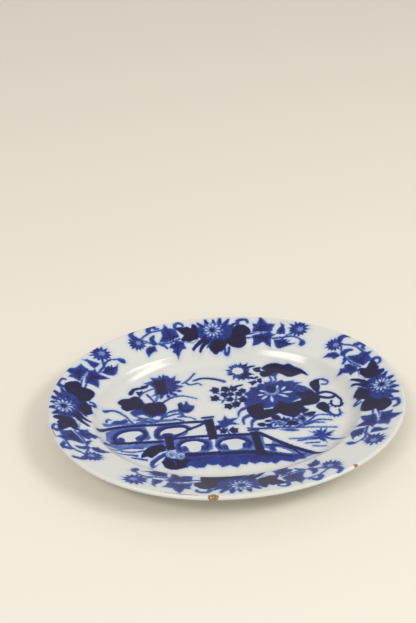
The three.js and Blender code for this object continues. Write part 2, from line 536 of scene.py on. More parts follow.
@dataclass(frozen=True)
class BorderSpray:
    """One flower spray of the border, drawn on (along the flange, outwards) from its main flower's centre."""

    angle: float
    height: float
    turn: float = 0.0
    bend: float = 0.0
    span: float = 1.0

    def draw(self, form: PlatterForm, ink: PrintField) -> None:
        """Stamps the spray on the flange: stretched by span, leaning by turn and bent by bend at 100 mm
        from its middle.

        Args:
            form: the platter's shape.
            ink: the pattern to add to, on plan coordinates.
        """
        r, angle = form.ring_of(ink.x, ink.y)
        turns = np.linspace(-pi, 3 * pi, 1441)
        mid_x, mid_y = form.ring(np.full(1441, form.half_width - 26.0), turns)
        length = np.concatenate([[0.0], np.cumsum(np.hypot(np.diff(mid_x), np.diff(mid_y)))])
        whole = length[720]
        here = np.interp(radians(self.angle), turns, length)
        along = here - np.interp(angle, turns, length)
        along = (along + whole / 2) % whole - whole / 2
        out = (r - form.shoulder_r) - self.height
        lean = along * self.turn + self.bend * (along / 100.0) ** 2
        local = ink.moved((along - out * self.turn) / self.span, out + lean)
        self.leaves(local)
        self.flower(local)
        self.left_end(local)
        self.right_end(local)

    def flower(self, ink: PrintField) -> None:
        """The main flower: a rosette of pale petals on a deep blue mass with pointed tips."""
        ink.leaf(Tone.BLUE, [(-19, -10), (-20, -1), (-18, 6), (-10, 8), (12, 9), (24, 6), (28, -3),
            (26, -14), (19, -20), (6, -21), (-6, -20), (-13, -17)])
        for x, y, tip_x, tip_y, width in ((-10, 2, -17, 12, 9.5), (-5, 4, -7, 16, 10), (2, 6, 3, 13, 8),
                (8, 4, 11, 17, 10), (14, 3, 21, 15, 9.5), (20, 0, 28, 8, 9), (-14, -2, -22, 2, 8)):
            ink.stroke(Tone.BLUE, [(x, y), ((x + tip_x) / 2, (y + tip_y) / 2), (tip_x, tip_y)], width, 3.0)
            ink.stroke(Tone.DARK, [((x + tip_x) / 2, (y + tip_y) / 2), (tip_x, tip_y)], 2.0, 0.8)
        ink.petals(Tone.DARK, (2, -2), 13.0, 19.0, 12, 2.4, 0.5)
        ink.petals(Tone.LIGHT, (0, 0), 2.6, 11.0, 11, 4.0, 0.25)
        ink.petals(Tone.PALE, (0, 0), 5.0, 11.0, 11, 1.3, 0.25)
        ink.petals(Tone.LIGHT, (1.0, -0.5), 9.0, 14.0, 11, 2.4, 0.53)
        ink.disc(Tone.INK, (-0.5, 0), 3.0, 7, 0.2)
        ink.curl(Tone.LIGHT, (4.2, 0), 2.0, 0.5, 0.0, 0.8)

    def leaves(self, ink: PrintField) -> None:
        """The near-black leaves each side of the flower and under it."""
        left = [(-45, 9), (-39, 10), (-36, 8.5), (-31, 9), (-27, 6), (-24, 12), (-20, 10), (-18, 3),
            (-19, -5), (-21, -11), (-31, -14), (-38, -15), (-44, -12), (-43, -8), (-39, -4), (-42, 1)]
        right = [(25, -1), (30, 5), (38, 7), (44, 4), (50, -3), (48, -9), (44, -11), (45, -16), (46, -22),
            (42, -28), (33, -29), (24, -27), (18, -22), (14, -17), (22, -12), (25, -7)]
        under = [(-9, -27), (-5, -32), (1, -34.5), (6, -32), (10, -32), (15, -28), (19, -21), (11, -17),
            (4, -16), (-5, -20)]
        for outline in (left, right, under):
            ink.leaf(Tone.DARK, outline)
        ink.veins(Tone.BLUE, (-21, -2), (-41, 3), 3, 0.9)
        ink.veins(Tone.LIGHT, (-21, -2), (-41, 3), 3, FAINT)
        ink.veins(Tone.LIGHT, (28, -5), (44, -1), 2, FAINT)
        ink.veins(Tone.LIGHT, (24, -15), (41, -24), 3, FAINT)
        ink.veins(Tone.LIGHT, (6, -18), (1, -31), 2, FAINT)
        for path, width in (([(-13, -14), (-24, -20), (-33, -27)], 7.0),
                ([(-10, -18), (-17, -23), (-23, -30)], 6.5)):
            ink.stroke(Tone.DARK, path, width, 3.0)
        ink.stroke(Tone.BLUE, [(-8, -23), (-11, -26)], 4.0, 3.0)
        ink.stroke(Tone.LIGHT, [(-40, -13), (-31, -17), (-22, -13)], 2.2, 1.2)
        ink.stroke(Tone.BLUE, [(14, -29), (15, -34), (20, -34), (21, -29)], 4.0, 3.6)

    def left_end(self, ink: PrintField) -> None:
        """The left half: a broad leaf, buds and stems, ending in a daisy."""
        broad = [(-74, -7), (-68, -1), (-65, 3), (-64.5, 11), (-60, 13), (-57, 18), (-54.5, 11),
            (-47, 9.5), (-46, 3), (-45, -4), (-50, -6), (-57, -8), (-66, -9)]
        lower = [(-65, -18), (-60, -13), (-56, -13), (-51, -9), (-46, -12), (-42, -13), (-43, -19),
            (-42, -24), (-48, -24), (-52, -27), (-59, -34), (-60, -29), (-64, -26), (-60, -22)]
        end = [(-100, -24), (-98.5, -15), (-95, -11), (-90, -9), (-85, -10), (-82, -11), (-84, -19),
            (-89, -18), (-93, -20)]
        for outline in (broad, lower, end):
            ink.leaf(Tone.BLUE, outline, soft=False)
        ink.veins(Tone.DARK, (-47, -3), (-68, -3), 3, 2.4)
        ink.stroke(Tone.DARK, [(-56, -4), (-58, 12)], 3.0, 1.2)
        ink.veins(Tone.DARK, (-46, -15), (-61, -17), 2, 2.6)
        ink.stroke(Tone.DARK, [(-52, -17), (-58, -30)], 3.0, 1.2)
        ink.veins(Tone.DARK, (-84, -12), (-97, -19), 2, 2.2)
        ink.stroke(Tone.BLUE, [(-46, 8), (-45, 14), (-41, 16.5), (-36, 13), (-37, 8)], 5.0, 2.0)
        ink.stroke(Tone.BLUE, [(-79, 13), (-77, 17), (-73, 19), (-70, 17)], 6.0, 4.0)
        ink.stroke(Tone.BLUE, [(-72, 19), (-69, 14), (-66, 14)], 5.0, 2.0)
        ink.leaf(Tone.BLUE, [(-84, -9), (-85, -2), (-81, 4), (-75, 5), (-78, -1), (-78, -8), (-81, -10)])
        ink.stroke(Tone.BLUE, [(-73, -11), (-70, -14), (-68, -18)], 5.0, 3.0)
        ink.stroke(Tone.BLUE, [(-46, -8), (-61, -11), (-76, -9), (-84, -6), (-92, 2)], 2.4, 2.0)
        ink.stroke(Tone.BLUE, [(-62, 10), (-76, 11), (-86, 8), (-94, 4)], 2.4, 2.2)
        self.daisy(ink, (-101, 0), 11.0, 2.6)
        ink.stroke(Tone.BLUE, [(-100, 8), (-101, 14), (-98, 18), (-94, 20)], 8.0, 3.0)

    def right_end(self, ink: PrintField) -> None:
        """The right half: two pointed leaves, a bud and stems, ending in a daisy."""
        upper = [(52, -5), (53, 3), (51, 9), (57, 8.5), (58, 14), (59, 20), (65, 15), (69, 10), (79, 10),
            (77, 4), (78, -1), (74, -4), (66, -3), (59, -4)]
        lower = [(53, -11), (60, -8), (68, -6), (76, -2), (79, -6), (84, -6), (80, -11), (80, -16),
            (83, -27), (76, -24), (70, -20), (64, -24), (56, -27), (56, -18)]
        last = [(84, -15), (90, -14), (95, -12.5), (102, -12), (101, -16), (107, -18), (115, -15),
            (106, -22), (98, -27), (92, -27), (87, -22)]
        for outline in (upper, lower, last):
            ink.leaf(Tone.BLUE, outline, soft=False)
        ink.veins(Tone.DARK, (56, -2), (72, 5), 3, 2.4)
        ink.stroke(Tone.DARK, [(62, 1), (61, 15)], 3.0, 1.2)
        ink.veins(Tone.DARK, (57, -13), (79, -12), 3, 3.0)
        ink.stroke(Tone.DARK, [(66, -12), (80, -23)], 4.0, 1.2)
        ink.veins(Tone.DARK, (87, -17), (108, -18), 3, 3.0)
        ink.leaf(Tone.BLUE, [(84, -5), (84, 1), (87, 7), (85.5, 13), (90, 10), (93, 3), (96, -4),
            (90, -5)], soft=False)
        ink.stroke(Tone.DARK, [(89, -3), (89, 7)], 2.6, 1.0)
        ink.stroke(Tone.BLUE, [(32, 8), (33, 13), (38, 15), (43, 14), (45, 10)], 5.4, 3.0)
        ink.stroke(Tone.BLUE, [(42, -15), (56, -13)], 2.6, 2.0)
        ink.stroke(Tone.BLUE, [(48, -8), (56, -6)], 2.4, 2.0)
        ink.stroke(Tone.LIGHT, [(57, -5), (64, -5.5), (71, -4)], 2.4, 1.6)
        ink.stroke(Tone.BLUE, [(82, -13), (94, -10), (104, -6), (112, -6), (121, -10)], 3.0, 2.0)
        ink.stroke(Tone.BLUE, [(98, -7), (104, 1)], 2.6, 2.0)
        ink.leaf(Tone.BLUE, [(119, -10), (122, -8), (127, -12), (125, -18), (120, -17)])
        self.daisy(ink, (109, 7), 12.5, 2.2)

    def daisy(self, ink: PrintField, centre: tuple[float, float], radius: float, turn: float) -> None:
        """A small flower of many pointed petals, with a pale middle off its centre.

        Args:
            ink: the pattern to add to.
            centre: its middle.
            radius: its radius.
            turn: the angle of its first petal.
        """
        ink.star(Tone.BLUE, centre, radius * 0.70, radius, 13, turn)
        ink.petals(Tone.DARK, centre, radius * 0.45, radius * 0.95, 13, 1.7, turn)
        ink.star(Tone.LIGHT, (centre[0] + 2, centre[1] + 0.5), radius * 0.24, radius * 0.44, 6, turn)


BORDER = (
    BorderSpray(angle=88.0, height=29.0, turn=0.0035, bend=-1.1, span=1.015),
    BorderSpray(angle=173.0, height=33.6, turn=-0.028, bend=4.7, span=0.95),
    BorderSpray(angle=-1.15, height=28.5, turn=0.0144, bend=0.75, span=0.97),
    BorderSpray(angle=266.4, height=25.4, turn=0.013, bend=-1.2, span=1.045),
)


class GardenScene:
    """The well's picture: garden flowers over a railed terrace, in plan millimetres from the platter's
    centre."""

    def draw(self, ink: PrintField) -> None:
        """Draws every group of the picture."""
        for group in (self.chrysanthemum, self.left_leaves, self.blades, self.rails, self.arches,
                self.posts, self.rock, self.ground, self.reed, self.sunflower, self.leaflets,
                self.scalloped_leaf, self.peony, self.right_curls, self.undergrowth, self.small_plant,
                self.water_plant):
            group(ink)

    def chrysanthemum(self, ink: PrintField) -> None:
        """The ragged flower at the upper left, near-black on its left half, with leaflets beside it."""
        ink.leaf(Tone.BLUE, [(-89, 53), (-83, 57), (-82, 64), (-83, 71), (-88, 78), (-95, 80), (-84, 84),
            (-80, 84), (-85, 89), (-76, 89), (-71, 86), (-68, 94), (-61, 90), (-59, 86), (-52, 90),
            (-55, 81), (-48, 79), (-54, 73), (-51, 69), (-53, 64), (-57, 66), (-54, 60), (-60, 58),
            (-61, 50), (-66, 57), (-72, 53), (-77, 49), (-77, 55)], soft=False)
        ink.leaf(Tone.DARK, [(-80, 57), (-80, 70), (-84, 79), (-79, 86), (-73, 84), (-68, 90), (-66, 80),
            (-67, 72), (-66, 60), (-70, 54), (-75, 55)], soft=False)
        ink.petals(Tone.DARK, (-67, 70), 6.0, 17.0, 9, 3.0, -1.6, 3.6)
        ink.petals(Tone.LIGHT, (-67, 70), 8.0, 15.0, 9, FAINT, -1.4, 3.4)
        ink.petals(Tone.BLUE, (-69, 69), 14.0, 24.0, 11, 5.0, -1.9, 5.0)
        ink.stroke(Tone.DARK, [(-113, 63), (-108, 70), (-98, 72)], 5.6, 3.0)
        ink.leaf(Tone.DARK, [(-100, 70), (-98, 76), (-92, 77), (-87, 79), (-91, 72), (-96, 70)], soft=False)
        ink.leaf(Tone.DARK, [(-106, 66), (-102, 65), (-98, 67), (-98, 62), (-103, 57), (-105, 61)],
            soft=False)
        ink.stroke(Tone.BLUE, [(-103, 55), (-97, 62), (-90, 66), (-82, 69)], 2.4, 2.0)
        ink.stroke(Tone.BLUE, [(-93, 58), (-89, 50), (-86, 42)], 3.0, 2.2)
        ink.stroke(Tone.WASH, [(-80, 52), (-84, 42)], 4.0, 3.0)

    def left_leaves(self, ink: PrintField) -> None:
        """The two near-black leaves on the left and the blue between them."""
        ink.leaf(Tone.DARK, [(-131, 47), (-127, 52), (-122, 54), (-116, 54), (-110, 57), (-104, 55),
            (-100, 47), (-98, 38), (-105, 30), (-112, 31), (-121, 30), (-127, 36), (-127, 42)])
        ink.leaf(Tone.DARK, [(-99, 38), (-93, 41), (-87, 40), (-78, 41), (-74, 36), (-72, 28), (-74, 20),
            (-82, 17), (-90, 15), (-97, 20), (-102, 28)])
        ink.leaf(Tone.BLUE, [(-98, 44), (-94, 38), (-84, 44), (-88, 38), (-104, 34), (-116, 28),
            (-116, 22), (-112, 18), (-104, 20), (-99, 17), (-93, 12), (-86, 14), (-78, 12), (-74, 20),
            (-90, 26)])
        ink.veins(Tone.BLUE, (-100, 40), (-126, 46), 4, 1.0)
        ink.veins(Tone.LIGHT, (-100, 40), (-126, 46), 4, FAINT)
        ink.veins(Tone.BLUE, (-98, 32), (-76, 27), 4, 1.0)
        ink.veins(Tone.LIGHT, (-98, 32), (-76, 27), 4, FAINT)

    def blades(self, ink: PrintField) -> None:
        """Grass blades, the hooked plants at the far left and the tulip bud."""
        strokes = [
            ([(-149, 29), (-137, 33), (-125, 22), (-118, 8), (-113, 2)], 3.0, 2.0),
            ([(-76, 38), (-62, 47), (-50, 48), (-40, 44), (-32, 39)], 3.4, 1.2),
            ([(-95, 3), (-104, 12), (-112, 18)], 3.6, 1.6),
            ([(-90, 2), (-103, 8), (-115, 12)], 3.4, 1.4),
            ([(-108, 12), (-95, 10), (-86, 3)], 2.4, 3.4),
            ([(-83, 5), (-76, 14), (-68, 20), (-58, 22)], 3.6, 1.8),
            ([(-80, 10), (-70, 12), (-60, 14), (-53, 8)], 3.2, 1.8),
            ([(-66, 5), (-55, 0)], 3.0, 2.0),
            ([(-148, 12), (-146, 17), (-142, 16)], 2.6, 1.6),
            ([(-57, 18), (-53, 9)], 4.0, 1.8),
            ([(-48, 24), (-58, 20), (-68, 18)], 2.4, 2.0),
            ([(-60, 8), (-48, 6), (-40, 0)], 2.6, 1.4),
        ]
        for path, width, tip in strokes:
            ink.stroke(Tone.BLUE, path, width, tip)
        ink.leaf(Tone.BLUE, [(-143, 8), (-138, 14), (-131, 13), (-124, 15), (-122, 9), (-130, 6)])
        ink.stroke(Tone.WASH, [(-150, 6), (-133, 7), (-116, 4)], 5.0, 3.0)
        ink.stroke(Tone.WASH, [(-110, 4), (-90, 5), (-66, 3)], 6.0, 4.0)
        ink.leaf(Tone.BLUE, [(-57, 17), (-57, 28), (-53, 36), (-50, 30), (-46, 37), (-43, 29), (-38, 26),
            (-40, 19), (-47, 14)])
        ink.stroke(Tone.DARK, [(-55, 32), (-55, 24), (-51, 18), (-44, 18)], 4.4, 3.0)

    def rails(self, ink: PrintField) -> None:
        """The terrace's rails: near-black lines with washes under them."""
        rails = [([(-159, -10), (-150, -3), (-143, 0), (-130, 1), (-110, 0), (-90, -2), (-70, -3),
            (-50, -4), (-30, -6)], 4.2), ([(-145, -28), (-130, -29), (-100, -32), (-85, -33)], 4.4),
            ([(-72, -31), (-50, -31), (-30, -33), (0, -36), (20, -38)], 4.2),
            ([(32, -38), (40, -46), (55, -60), (70, -72), (85, -82), (98, -92)], 5.0),
            ([(-70, -27), (-52, -18), (-30, -9)], 3.2),]
        for path, width in rails:
            ink.stroke(Tone.DARK, path, width)
        ink.stroke(Tone.WASH, [(-150, -34), (-125, -36), (-84, -38)], 7.0)
        ink.stroke(Tone.BLUE, [(-154, -39), (-145, -30)], 3.0, 2.0)
        ink.stroke(Tone.BLUE, [(-135, -43), (-120, -46), (-105, -46)], 2.4, 2.0)
        for path in ([(-147, -45), (-129, -38), (-110, -41)], [(-141, -49), (-127, -50), (-118, -53)],
                     [(-124, -56), (-115, -59), (-108, -62)]):
            ink.stroke(Tone.BLUE, path, 1.4, 3.2)

    def arch(self, ink: PrintField, points: Points, opening: Points, feet: Points) -> None:
        """One scrolled panel of the balustrade: a blue band round a near-black arch, a white opening and
        round feet.

        Args:
            ink: the pattern to add to.
            points: the arch line.
            opening: the white opening's outline.
            feet: the centres of the arch's round feet.
        """
        ink.stroke(Tone.BLUE, points, 8.0)
        ink.leaf(Tone.PALE, opening)
        ink.stroke(Tone.DARK, points, 2.4)
        for foot in feet:
            ink.disc(Tone.BLUE, foot, 4.6)

    def arches(self, ink: PrintField) -> None:
        """The balustrade's scrolled panels."""
        backing = [
            [(-151, -26), (-150, -8), (-140, 0), (-104, -1), (-100, -14), (-98, -27), (-125, -29)],
            [(-94, -28), (-93, -12), (-86, -4), (-60, -5), (-50, -14), (-55, -26), (-72, -31)],
            [(-72, -33), (-72, -56), (-66, -60), (-36, -60), (-28, -56), (-28, -50), (-26, -38)],
            [(-24, -36), (-24, -52), (-22, -62), (12, -66), (24, -66), (24, -38)],
            [(30, -40), (30, -64), (44, -70), (60, -84), (72, -90), (90, -86), (60, -62)],
        ]
        for outline in backing:
            ink.leaf(Tone.WASH, outline, soft=False)
        self.arch(ink, [(-140, -25), (-141, -17), (-133, -9), (-120, -7), (-110, -8), (-104, -14),
            (-105, -21), (-110, -25)], [(-128, -27), (-129, -21), (-134, -17), (-138, -19), (-135, -13),
            (-125, -9.5), (-112, -10), (-107, -15), (-112, -18), (-117, -22), (-116, -27)], [(-134, -23),
            (-112, -23)])
        self.arch(ink, [(-88, -26), (-90, -21), (-87, -13), (-80, -10), (-69, -8.5), (-58, -10.5),
            (-52, -15)], [(-86, -22), (-85, -17), (-79, -12.5), (-69, -11.5), (-59, -12.5), (-54, -16),
            (-58, -20), (-68, -23), (-74, -20), (-81, -19)], [(-82, -25)])
        self.arch(ink, [(-66, -52), (-68, -46), (-64, -40), (-57, -37), (-45, -38), (-37, -42), (-33, -48),
            (-36, -54)], [(-55, -57), (-57, -49), (-60, -45), (-65, -46), (-61, -41), (-53, -39),
            (-44, -40), (-37, -46), (-41, -49), (-44, -57)], [(-61, -51), (-39, -53)])
        self.arch(ink, [(-19, -56), (-21, -50), (-16, -44), (-8, -41.5), (4, -42), (12, -46), (17, -53),
            (14, -59)], [(-8, -61), (-10, -54), (-13, -49), (-18, -50), (-14, -45), (-6, -43.5), (4, -44),
            (12, -50), (8, -53), (5, -61)], [(-14, -56), (11, -57)])
        ink.stroke(Tone.DARK, [(35, -60), (45, -62), (55, -66), (65, -73), (72, -84)], 3.0, 2.4)
        ink.leaf(Tone.PALE, [(34, -46), (34, -58), (41, -59), (44, -55), (38, -47)], soft=False)
        ink.leaf(Tone.PALE, [(45, -66), (52, -69), (60, -76), (62, -79), (52, -76), (46, -71)])
        ink.disc(Tone.BLUE, (42, -67), 5.0)
        ink.leaf(Tone.PALE, [(-57, -28), (-32, -14), (-32, -29)], soft=False)
        ink.leaf(Tone.PALE, [(-101, -5), (-95, -15), (-88, -6), (-95, -9)], soft=False)
        ink.leaf(Tone.PALE, [(-101, -28), (-96, -24), (-90, -30)], soft=False)
        ink.leaf(Tone.PALE, [(-28, -40), (-23, -40), (-25, -51)], soft=False)

    def posts(self, ink: PrintField) -> None:
        """The three posts with their caps."""
        for left, right, top, foot in ((-30, -19, 1, -40), (-82, -72, -21, -50), (21, 31, -31, -68)):
            ink.leaf(Tone.DARK, [(left, top - 3), (right, top - 3), (right, foot), (left, foot)], soft=False)
            ink.stroke(Tone.DARK, [(left - 1, top), (right + 1, top)], 3.0)
            ink.stroke(Tone.LIGHT, [(left + 2.4, top - 8), (left + 2.4, foot + 5)], FAINT)

    def rock(self, ink: PrintField) -> None:
        """Dark and pale leaves and two ring-shaped flowers at the foot of the middle post."""
        ink.leaf(Tone.DARK, [(-114, -58), (-111, -50), (-106, -43), (-99, -39), (-87, -38), (-82, -43),
            (-83, -50), (-92, -52), (-97, -57), (-101, -60), (-106, -56)], soft=False)
        ink.leaf(Tone.BLUE, [(-80, -54), (-87, -54), (-94, -58), (-98, -61), (-104, -67), (-104, -78),
            (-101, -78), (-94, -70), (-88, -65), (-80, -63)])
        ink.petal(Tone.PALE, (-84, -59), (-101, -74), 4.2)
        ink.leaf(Tone.DARK, [(-91, -68), (-84, -63), (-75, -65), (-68, -68), (-61, -67), (-56, -70),
            (-62, -76), (-64, -82), (-74, -84), (-82, -83), (-88, -78)], soft=False)
        ink.stroke(Tone.LIGHT, [(-77, -68), (-75, -73), (-76, -80)], 1.2, 0.6)
        for centre in ((-79, -57), (-68, -62)):
            ink.disc(Tone.LIGHT, centre, 5.6)
            ink.disc(Tone.WASH, centre, 5.6)
            ink.curl(Tone.PALE, centre, 4.8, 0.8, 0.4, 0.8)
            ink.disc(Tone.INK, (centre[0] + 0.5, centre[1] - 1.4), 1.0)

    def ground(self, ink: PrintField) -> None:
        """The dark ground under the terrace with its ragged lower edge."""
        ink.leaf(Tone.BLUE, [(-66, -62), (-64, -83), (-59, -80), (-53, -85), (-44, -86), (-39, -81),
            (-33, -84), (-27, -83), (-23, -89), (-14, -87), (-6, -92), (-1, -87), (5, -89), (9, -85),
            (16, -90), (22, -87), (29, -91), (35, -89), (38, -94), (46, -89), (52, -91), (60, -95),
            (66, -91), (74, -92), (78, -82), (60, -80), (30, -68), (0, -64), (-40, -60)], soft=False)
        ink.stroke(Tone.DARK, [(-60, -61), (-40, -63), (-22, -64)], 6.0, 5.0)
        ink.stroke(Tone.DARK, [(-20, -66), (0, -67), (16, -69), (30, -71)], 5.0, 6.0)
        ink.stroke(Tone.DARK, [(20, -74), (40, -77), (60, -84)], 4.0, 3.0)
        for x, y in ((-46, -80), (-30, -76), (-8, -86), (14, -82), (26, -85), (46, -87), (62, -88)):
            ink.stroke(Tone.WASH, [(x - 7, y), (x, y + 1.0), (x + 7, y)], 0.4, 0.0)
        for x, y in ((-52, -72), (-34, -70), (-14, -73), (8, -76), (24, -79), (40, -81)):
            ink.stroke(Tone.DARK, [(x - 8, y), (x, y + 1.2), (x + 8, y)], 1.4, 0.2)

    def reed(self, ink: PrintField) -> None:
        """The reed leaf and twigs at the top."""
        ink.stroke(Tone.BLUE, [(-30, 76), (-20, 79), (-12, 78), (-3, 75), (4, 71), (8, 68)], 3.0, 4.6)
        ink.stroke(Tone.BLUE, [(-45, 73), (-40, 76), (-33, 83), (-27, 91)], 2.6, 2.2)
        ink.stroke(Tone.BLUE, [(-40, 73), (-37, 69), (-30, 69), (-26, 70), (-22, 66)], 2.6, 2.0)
        ink.stroke(Tone.DARK, [(-22, 79), (-12, 78), (-2, 74)], 2.6, 2.0)

    def sunflower(self, ink: PrintField) -> None:
        """The open flower at the top: a white disc in a ring of pointed petals, and its leaves."""
        ink.leaf(Tone.BLUE, [(20, 70), (24, 78), (14, 81), (20, 86), (14, 91), (22, 92), (21, 99),
            (27, 96), (28, 102), (32, 98), (37, 102), (38, 97), (46, 100), (42, 92), (46, 88), (43, 82),
            (50, 76), (43, 75), (41, 66), (38, 70), (34, 66), (32, 70), (27, 67), (28, 74)], soft=False)
        ink.leaf(Tone.DARK, [(36, 97), (44, 99), (41, 90), (43, 82), (47, 77), (41, 74), (40, 68),
            (36, 72), (32, 68), (30, 74), (36, 80), (39, 88)], soft=False)
        ink.petals(Tone.DARK, (31, 86), 10.0, 15.5, 9, 1.8, 1.2, 3.6)
        ink.petals(Tone.LIGHT, (31, 86), 8.0, 12.0, 12, 1.0, 0.1)
        ink.disc(Tone.PALE, (30, 87), 7.4, 9, 0.06)
        ink.petals(Tone.LIGHT, (30, 87), 1.0, 5.0, 5, 1.0)
        ink.stroke(Tone.DARK, [(43, 91), (48, 93), (53, 93)], 4.4, 2.2)
        ink.leaf(Tone.DARK, [(50, 89), (55, 90), (62, 90), (59, 85), (60, 80), (54, 80), (51, 83)],
            soft=False)
        ink.stroke(Tone.DARK, [(44, 70), (48, 68), (52, 70)], 4.4, 3.0)
        ink.leaf(Tone.DARK, [(38, 61), (43, 62), (49, 64), (49, 58), (45, 56), (43, 53), (41, 58)],
            soft=False)
        ink.leaf(Tone.DARK, [(50, 60), (52, 66), (57, 66), (56, 60), (54, 56)], soft=False)

    def leaflets(self, ink: PrintField) -> None:
        """The cluster of small dark leaves in the middle."""
        leaves = ((-6, 52, 6.6), (7, 52, 6.4), (-9, 36, 6.4), (4, 41, 5.6), (12, 41, 4.6), (9, 31, 5.4),
            (22, 40, 5.0), (28, 45, 5.4), (25, 28, 6.6), (5, 18, 6.0), (15, 20, 6.4), (17, 51, 6.0))
        for k, (x, y, size) in enumerate(leaves):
            ink.ivy(Tone.DARK, (x, y), size, pi * 0.97 + 0.55 * np.sin(2.3 * k))
        ink.stroke(Tone.DARK, [(16, 52), (22, 55), (30, 57)], 5.0, 2.0)
        twigs = [[(-6, 46), (2, 42), (12, 40), (20, 38), (28, 34)], [(-2, 26), (6, 38), (12, 48), (16, 58)],
                 [(12, 14), (16, 30), (22, 44)], [(-9, 34), (2, 30), (12, 30), (24, 28)]]
        for path in twigs:
            ink.stroke(Tone.BLUE, path, 2.0, 1.4)

    def scalloped_leaf(self, ink: PrintField) -> None:
        """The large near-black leaf at the upper right."""
        ink.leaf(Tone.DARK, [(62, 87), (66, 91), (74, 93), (84, 91), (90, 87), (98, 86), (103, 81),
            (108, 77), (113, 72), (118, 62), (111, 67), (103, 65), (96, 63), (90, 65), (86, 70), (82, 73),
            (76, 74), (72, 71), (66, 69), (60, 69), (57, 75), (60, 81), (66, 81), (63, 84)])
        ink.veins(Tone.LIGHT, (74, 76), (112, 69), 5, FAINT)
        ink.veins(Tone.LIGHT, (74, 76), (60, 75), 2, FAINT)
        ink.leaf(Tone.BLUE, [(70, 71), (74, 75), (80, 73), (78, 69), (73, 67)])
        ink.stroke(Tone.BLUE, [(68, 70), (69, 63), (68, 56)], 2.6, 2.6)
        ink.stroke(Tone.BLUE, [(75, 72), (75, 64), (74, 56)], 2.6, 2.6)

    def peony(self, ink: PrintField) -> None:
        """The great flower at the right: pale petals on blue, dark at its heart and under it."""
        ink.leaf(Tone.BLUE, [(27, 12), (25, 18), (26, 27), (32, 31), (28, 40), (37, 43), (39, 50),
            (48, 50), (50, 55), (58, 54), (62, 58), (68, 55), (76, 56), (82, 59), (84, 55), (98, 55),
            (95, 52), (106, 49), (99, 46), (108, 41), (114, 34), (108, 30), (100, 20), (80, 10), (50, 6)],
            soft=False)
        dark = [[(26, 10), (31, 14), (38, 16), (48, 17), (47, 8), (46, 3), (44, -4), (36, -12), (30, -8),
            (27, -2)], [(58, 3), (66, 14), (70, 18), (78, 12), (90, 13), (97, 15), (96, 22), (92, 28),
            (98, 31), (105, 30), (110, 33), (116, 30), (121, 15), (118, 8), (112, 4), (104, 3), (97, 2),
            (95, -4), (80, -6), (66, -4)], [(97, 0), (96, -6), (91, -9), (86, -14), (80, -17), (74, -14),
            (68, -10), (64, -6), (58, -8), (48, -12), (40, -14), (33, -12), (28, -4), (40, 3), (60, 4),
            (80, 2)],]
        for outline in dark:
            ink.leaf(Tone.DARK, outline)
        ink.stroke(Tone.LIGHT, [(50, 17), (47, 6)], FAINT)
        petals = [(62, 30, 60, 16, 5.6), (58, 31, 48, 24, 5.0), (55, 33, 44, 33, 4.4), (56, 38, 49, 42, 4.6),
                  (70, 32, 83, 23, 5.2), (75, 33, 91, 33, 5.4), (76, 37, 84, 45, 4.6), (71, 41, 75, 49, 4.0)]
        for x, y, tip_x, tip_y, width in petals:
            ink.petal(Tone.LIGHT, (x, y), (tip_x, tip_y), width)
            ink.petal(Tone.PALE, (x, y), (tip_x, tip_y), width * 0.45)
        ink.petals(Tone.LIGHT, (64, 40), 5.0, 11.0, 9, 5.0, 3.3, 3.4)
        ink.star(Tone.INK, (64, 43), 5.6, 8.4, 11, 0.4)
        ink.petals(Tone.DARK, (66, 36), 17.0, 24.0, 14, 1.6, -0.3, 3.8)
        ink.petals(Tone.DARK, (62, 28), 14.0, 30.0, 9, 1.8, 2.4, 1.8)
        ink.petals(Tone.LIGHT, (80, 26), 18.0, 26.0, 6, 0.9, -0.3, 1.6)
        for base, tip in (((40, 5), (30, -6)), ((80, 4), (82, -13)), ((68, 8), (56, -6)),
                ((104, 8), (112, 28)), ((100, 12), (100, 28)), ((88, 8), (92, -6))):
            ink.veins(Tone.BLUE, base, tip, 3, 1.0)
            ink.veins(Tone.LIGHT, base, tip, 3, FAINT)
        claws = [[(28, 12), (20, 9), (15, 4), (13, -3)], [(28, -3), (20, -7), (17, -12), (17, -19)],
                 [(32, -12), (27, -17), (25, -26)]]
        for path in claws:
            ink.stroke(Tone.BLUE, path, 6.0, 1.6)

    def right_curls(self, ink: PrintField) -> None:
        """The curling leaves at the far right."""
        ink.leaf(Tone.DARK, [(115, 42), (118, 48), (125, 52), (129, 50), (128, 44), (127, 37), (125, 32),
            (121, 24), (117, 32)])
        ink.stroke(Tone.BLUE, [(128, 51), (134, 49), (139, 43), (137, 40), (131, 41)], 2.6, 2.4)
        ink.stroke(Tone.DARK, [(116, 20), (122, 24), (132, 25), (140, 20), (144, 12), (146, 6), (144, -2)],
            4.6, 2.4)
        ink.stroke(Tone.DARK, [(120, 18), (128, 14), (135, 13), (140, 15)], 5.0, 4.0)
        ink.stroke(Tone.DARK, [(145, -2), (140, -5), (134, -3), (132, 2), (134, 7)], 3.6, 2.4)
        ink.petals(Tone.DARK, (138, 3), 7.0, 10.5, 6, 1.6, -2.9, 3.0)
        ink.leaf(Tone.DARK, [(112, -2), (117, 5), (123, 6), (127, 2), (128, -6), (125, -12), (122, -15),
            (117, -10)])
        ink.veins(Tone.LIGHT, (119, 4), (122, -11), 3, FAINT)
        ink.stroke(Tone.BLUE, [(124, -12), (127, -19), (133, -22), (138, -19), (139, -11)], 5.0, 2.4)
        ink.petals(Tone.BLUE, (132, -14), 8.0, 11.5, 6, 1.6, -2.8, 2.8)

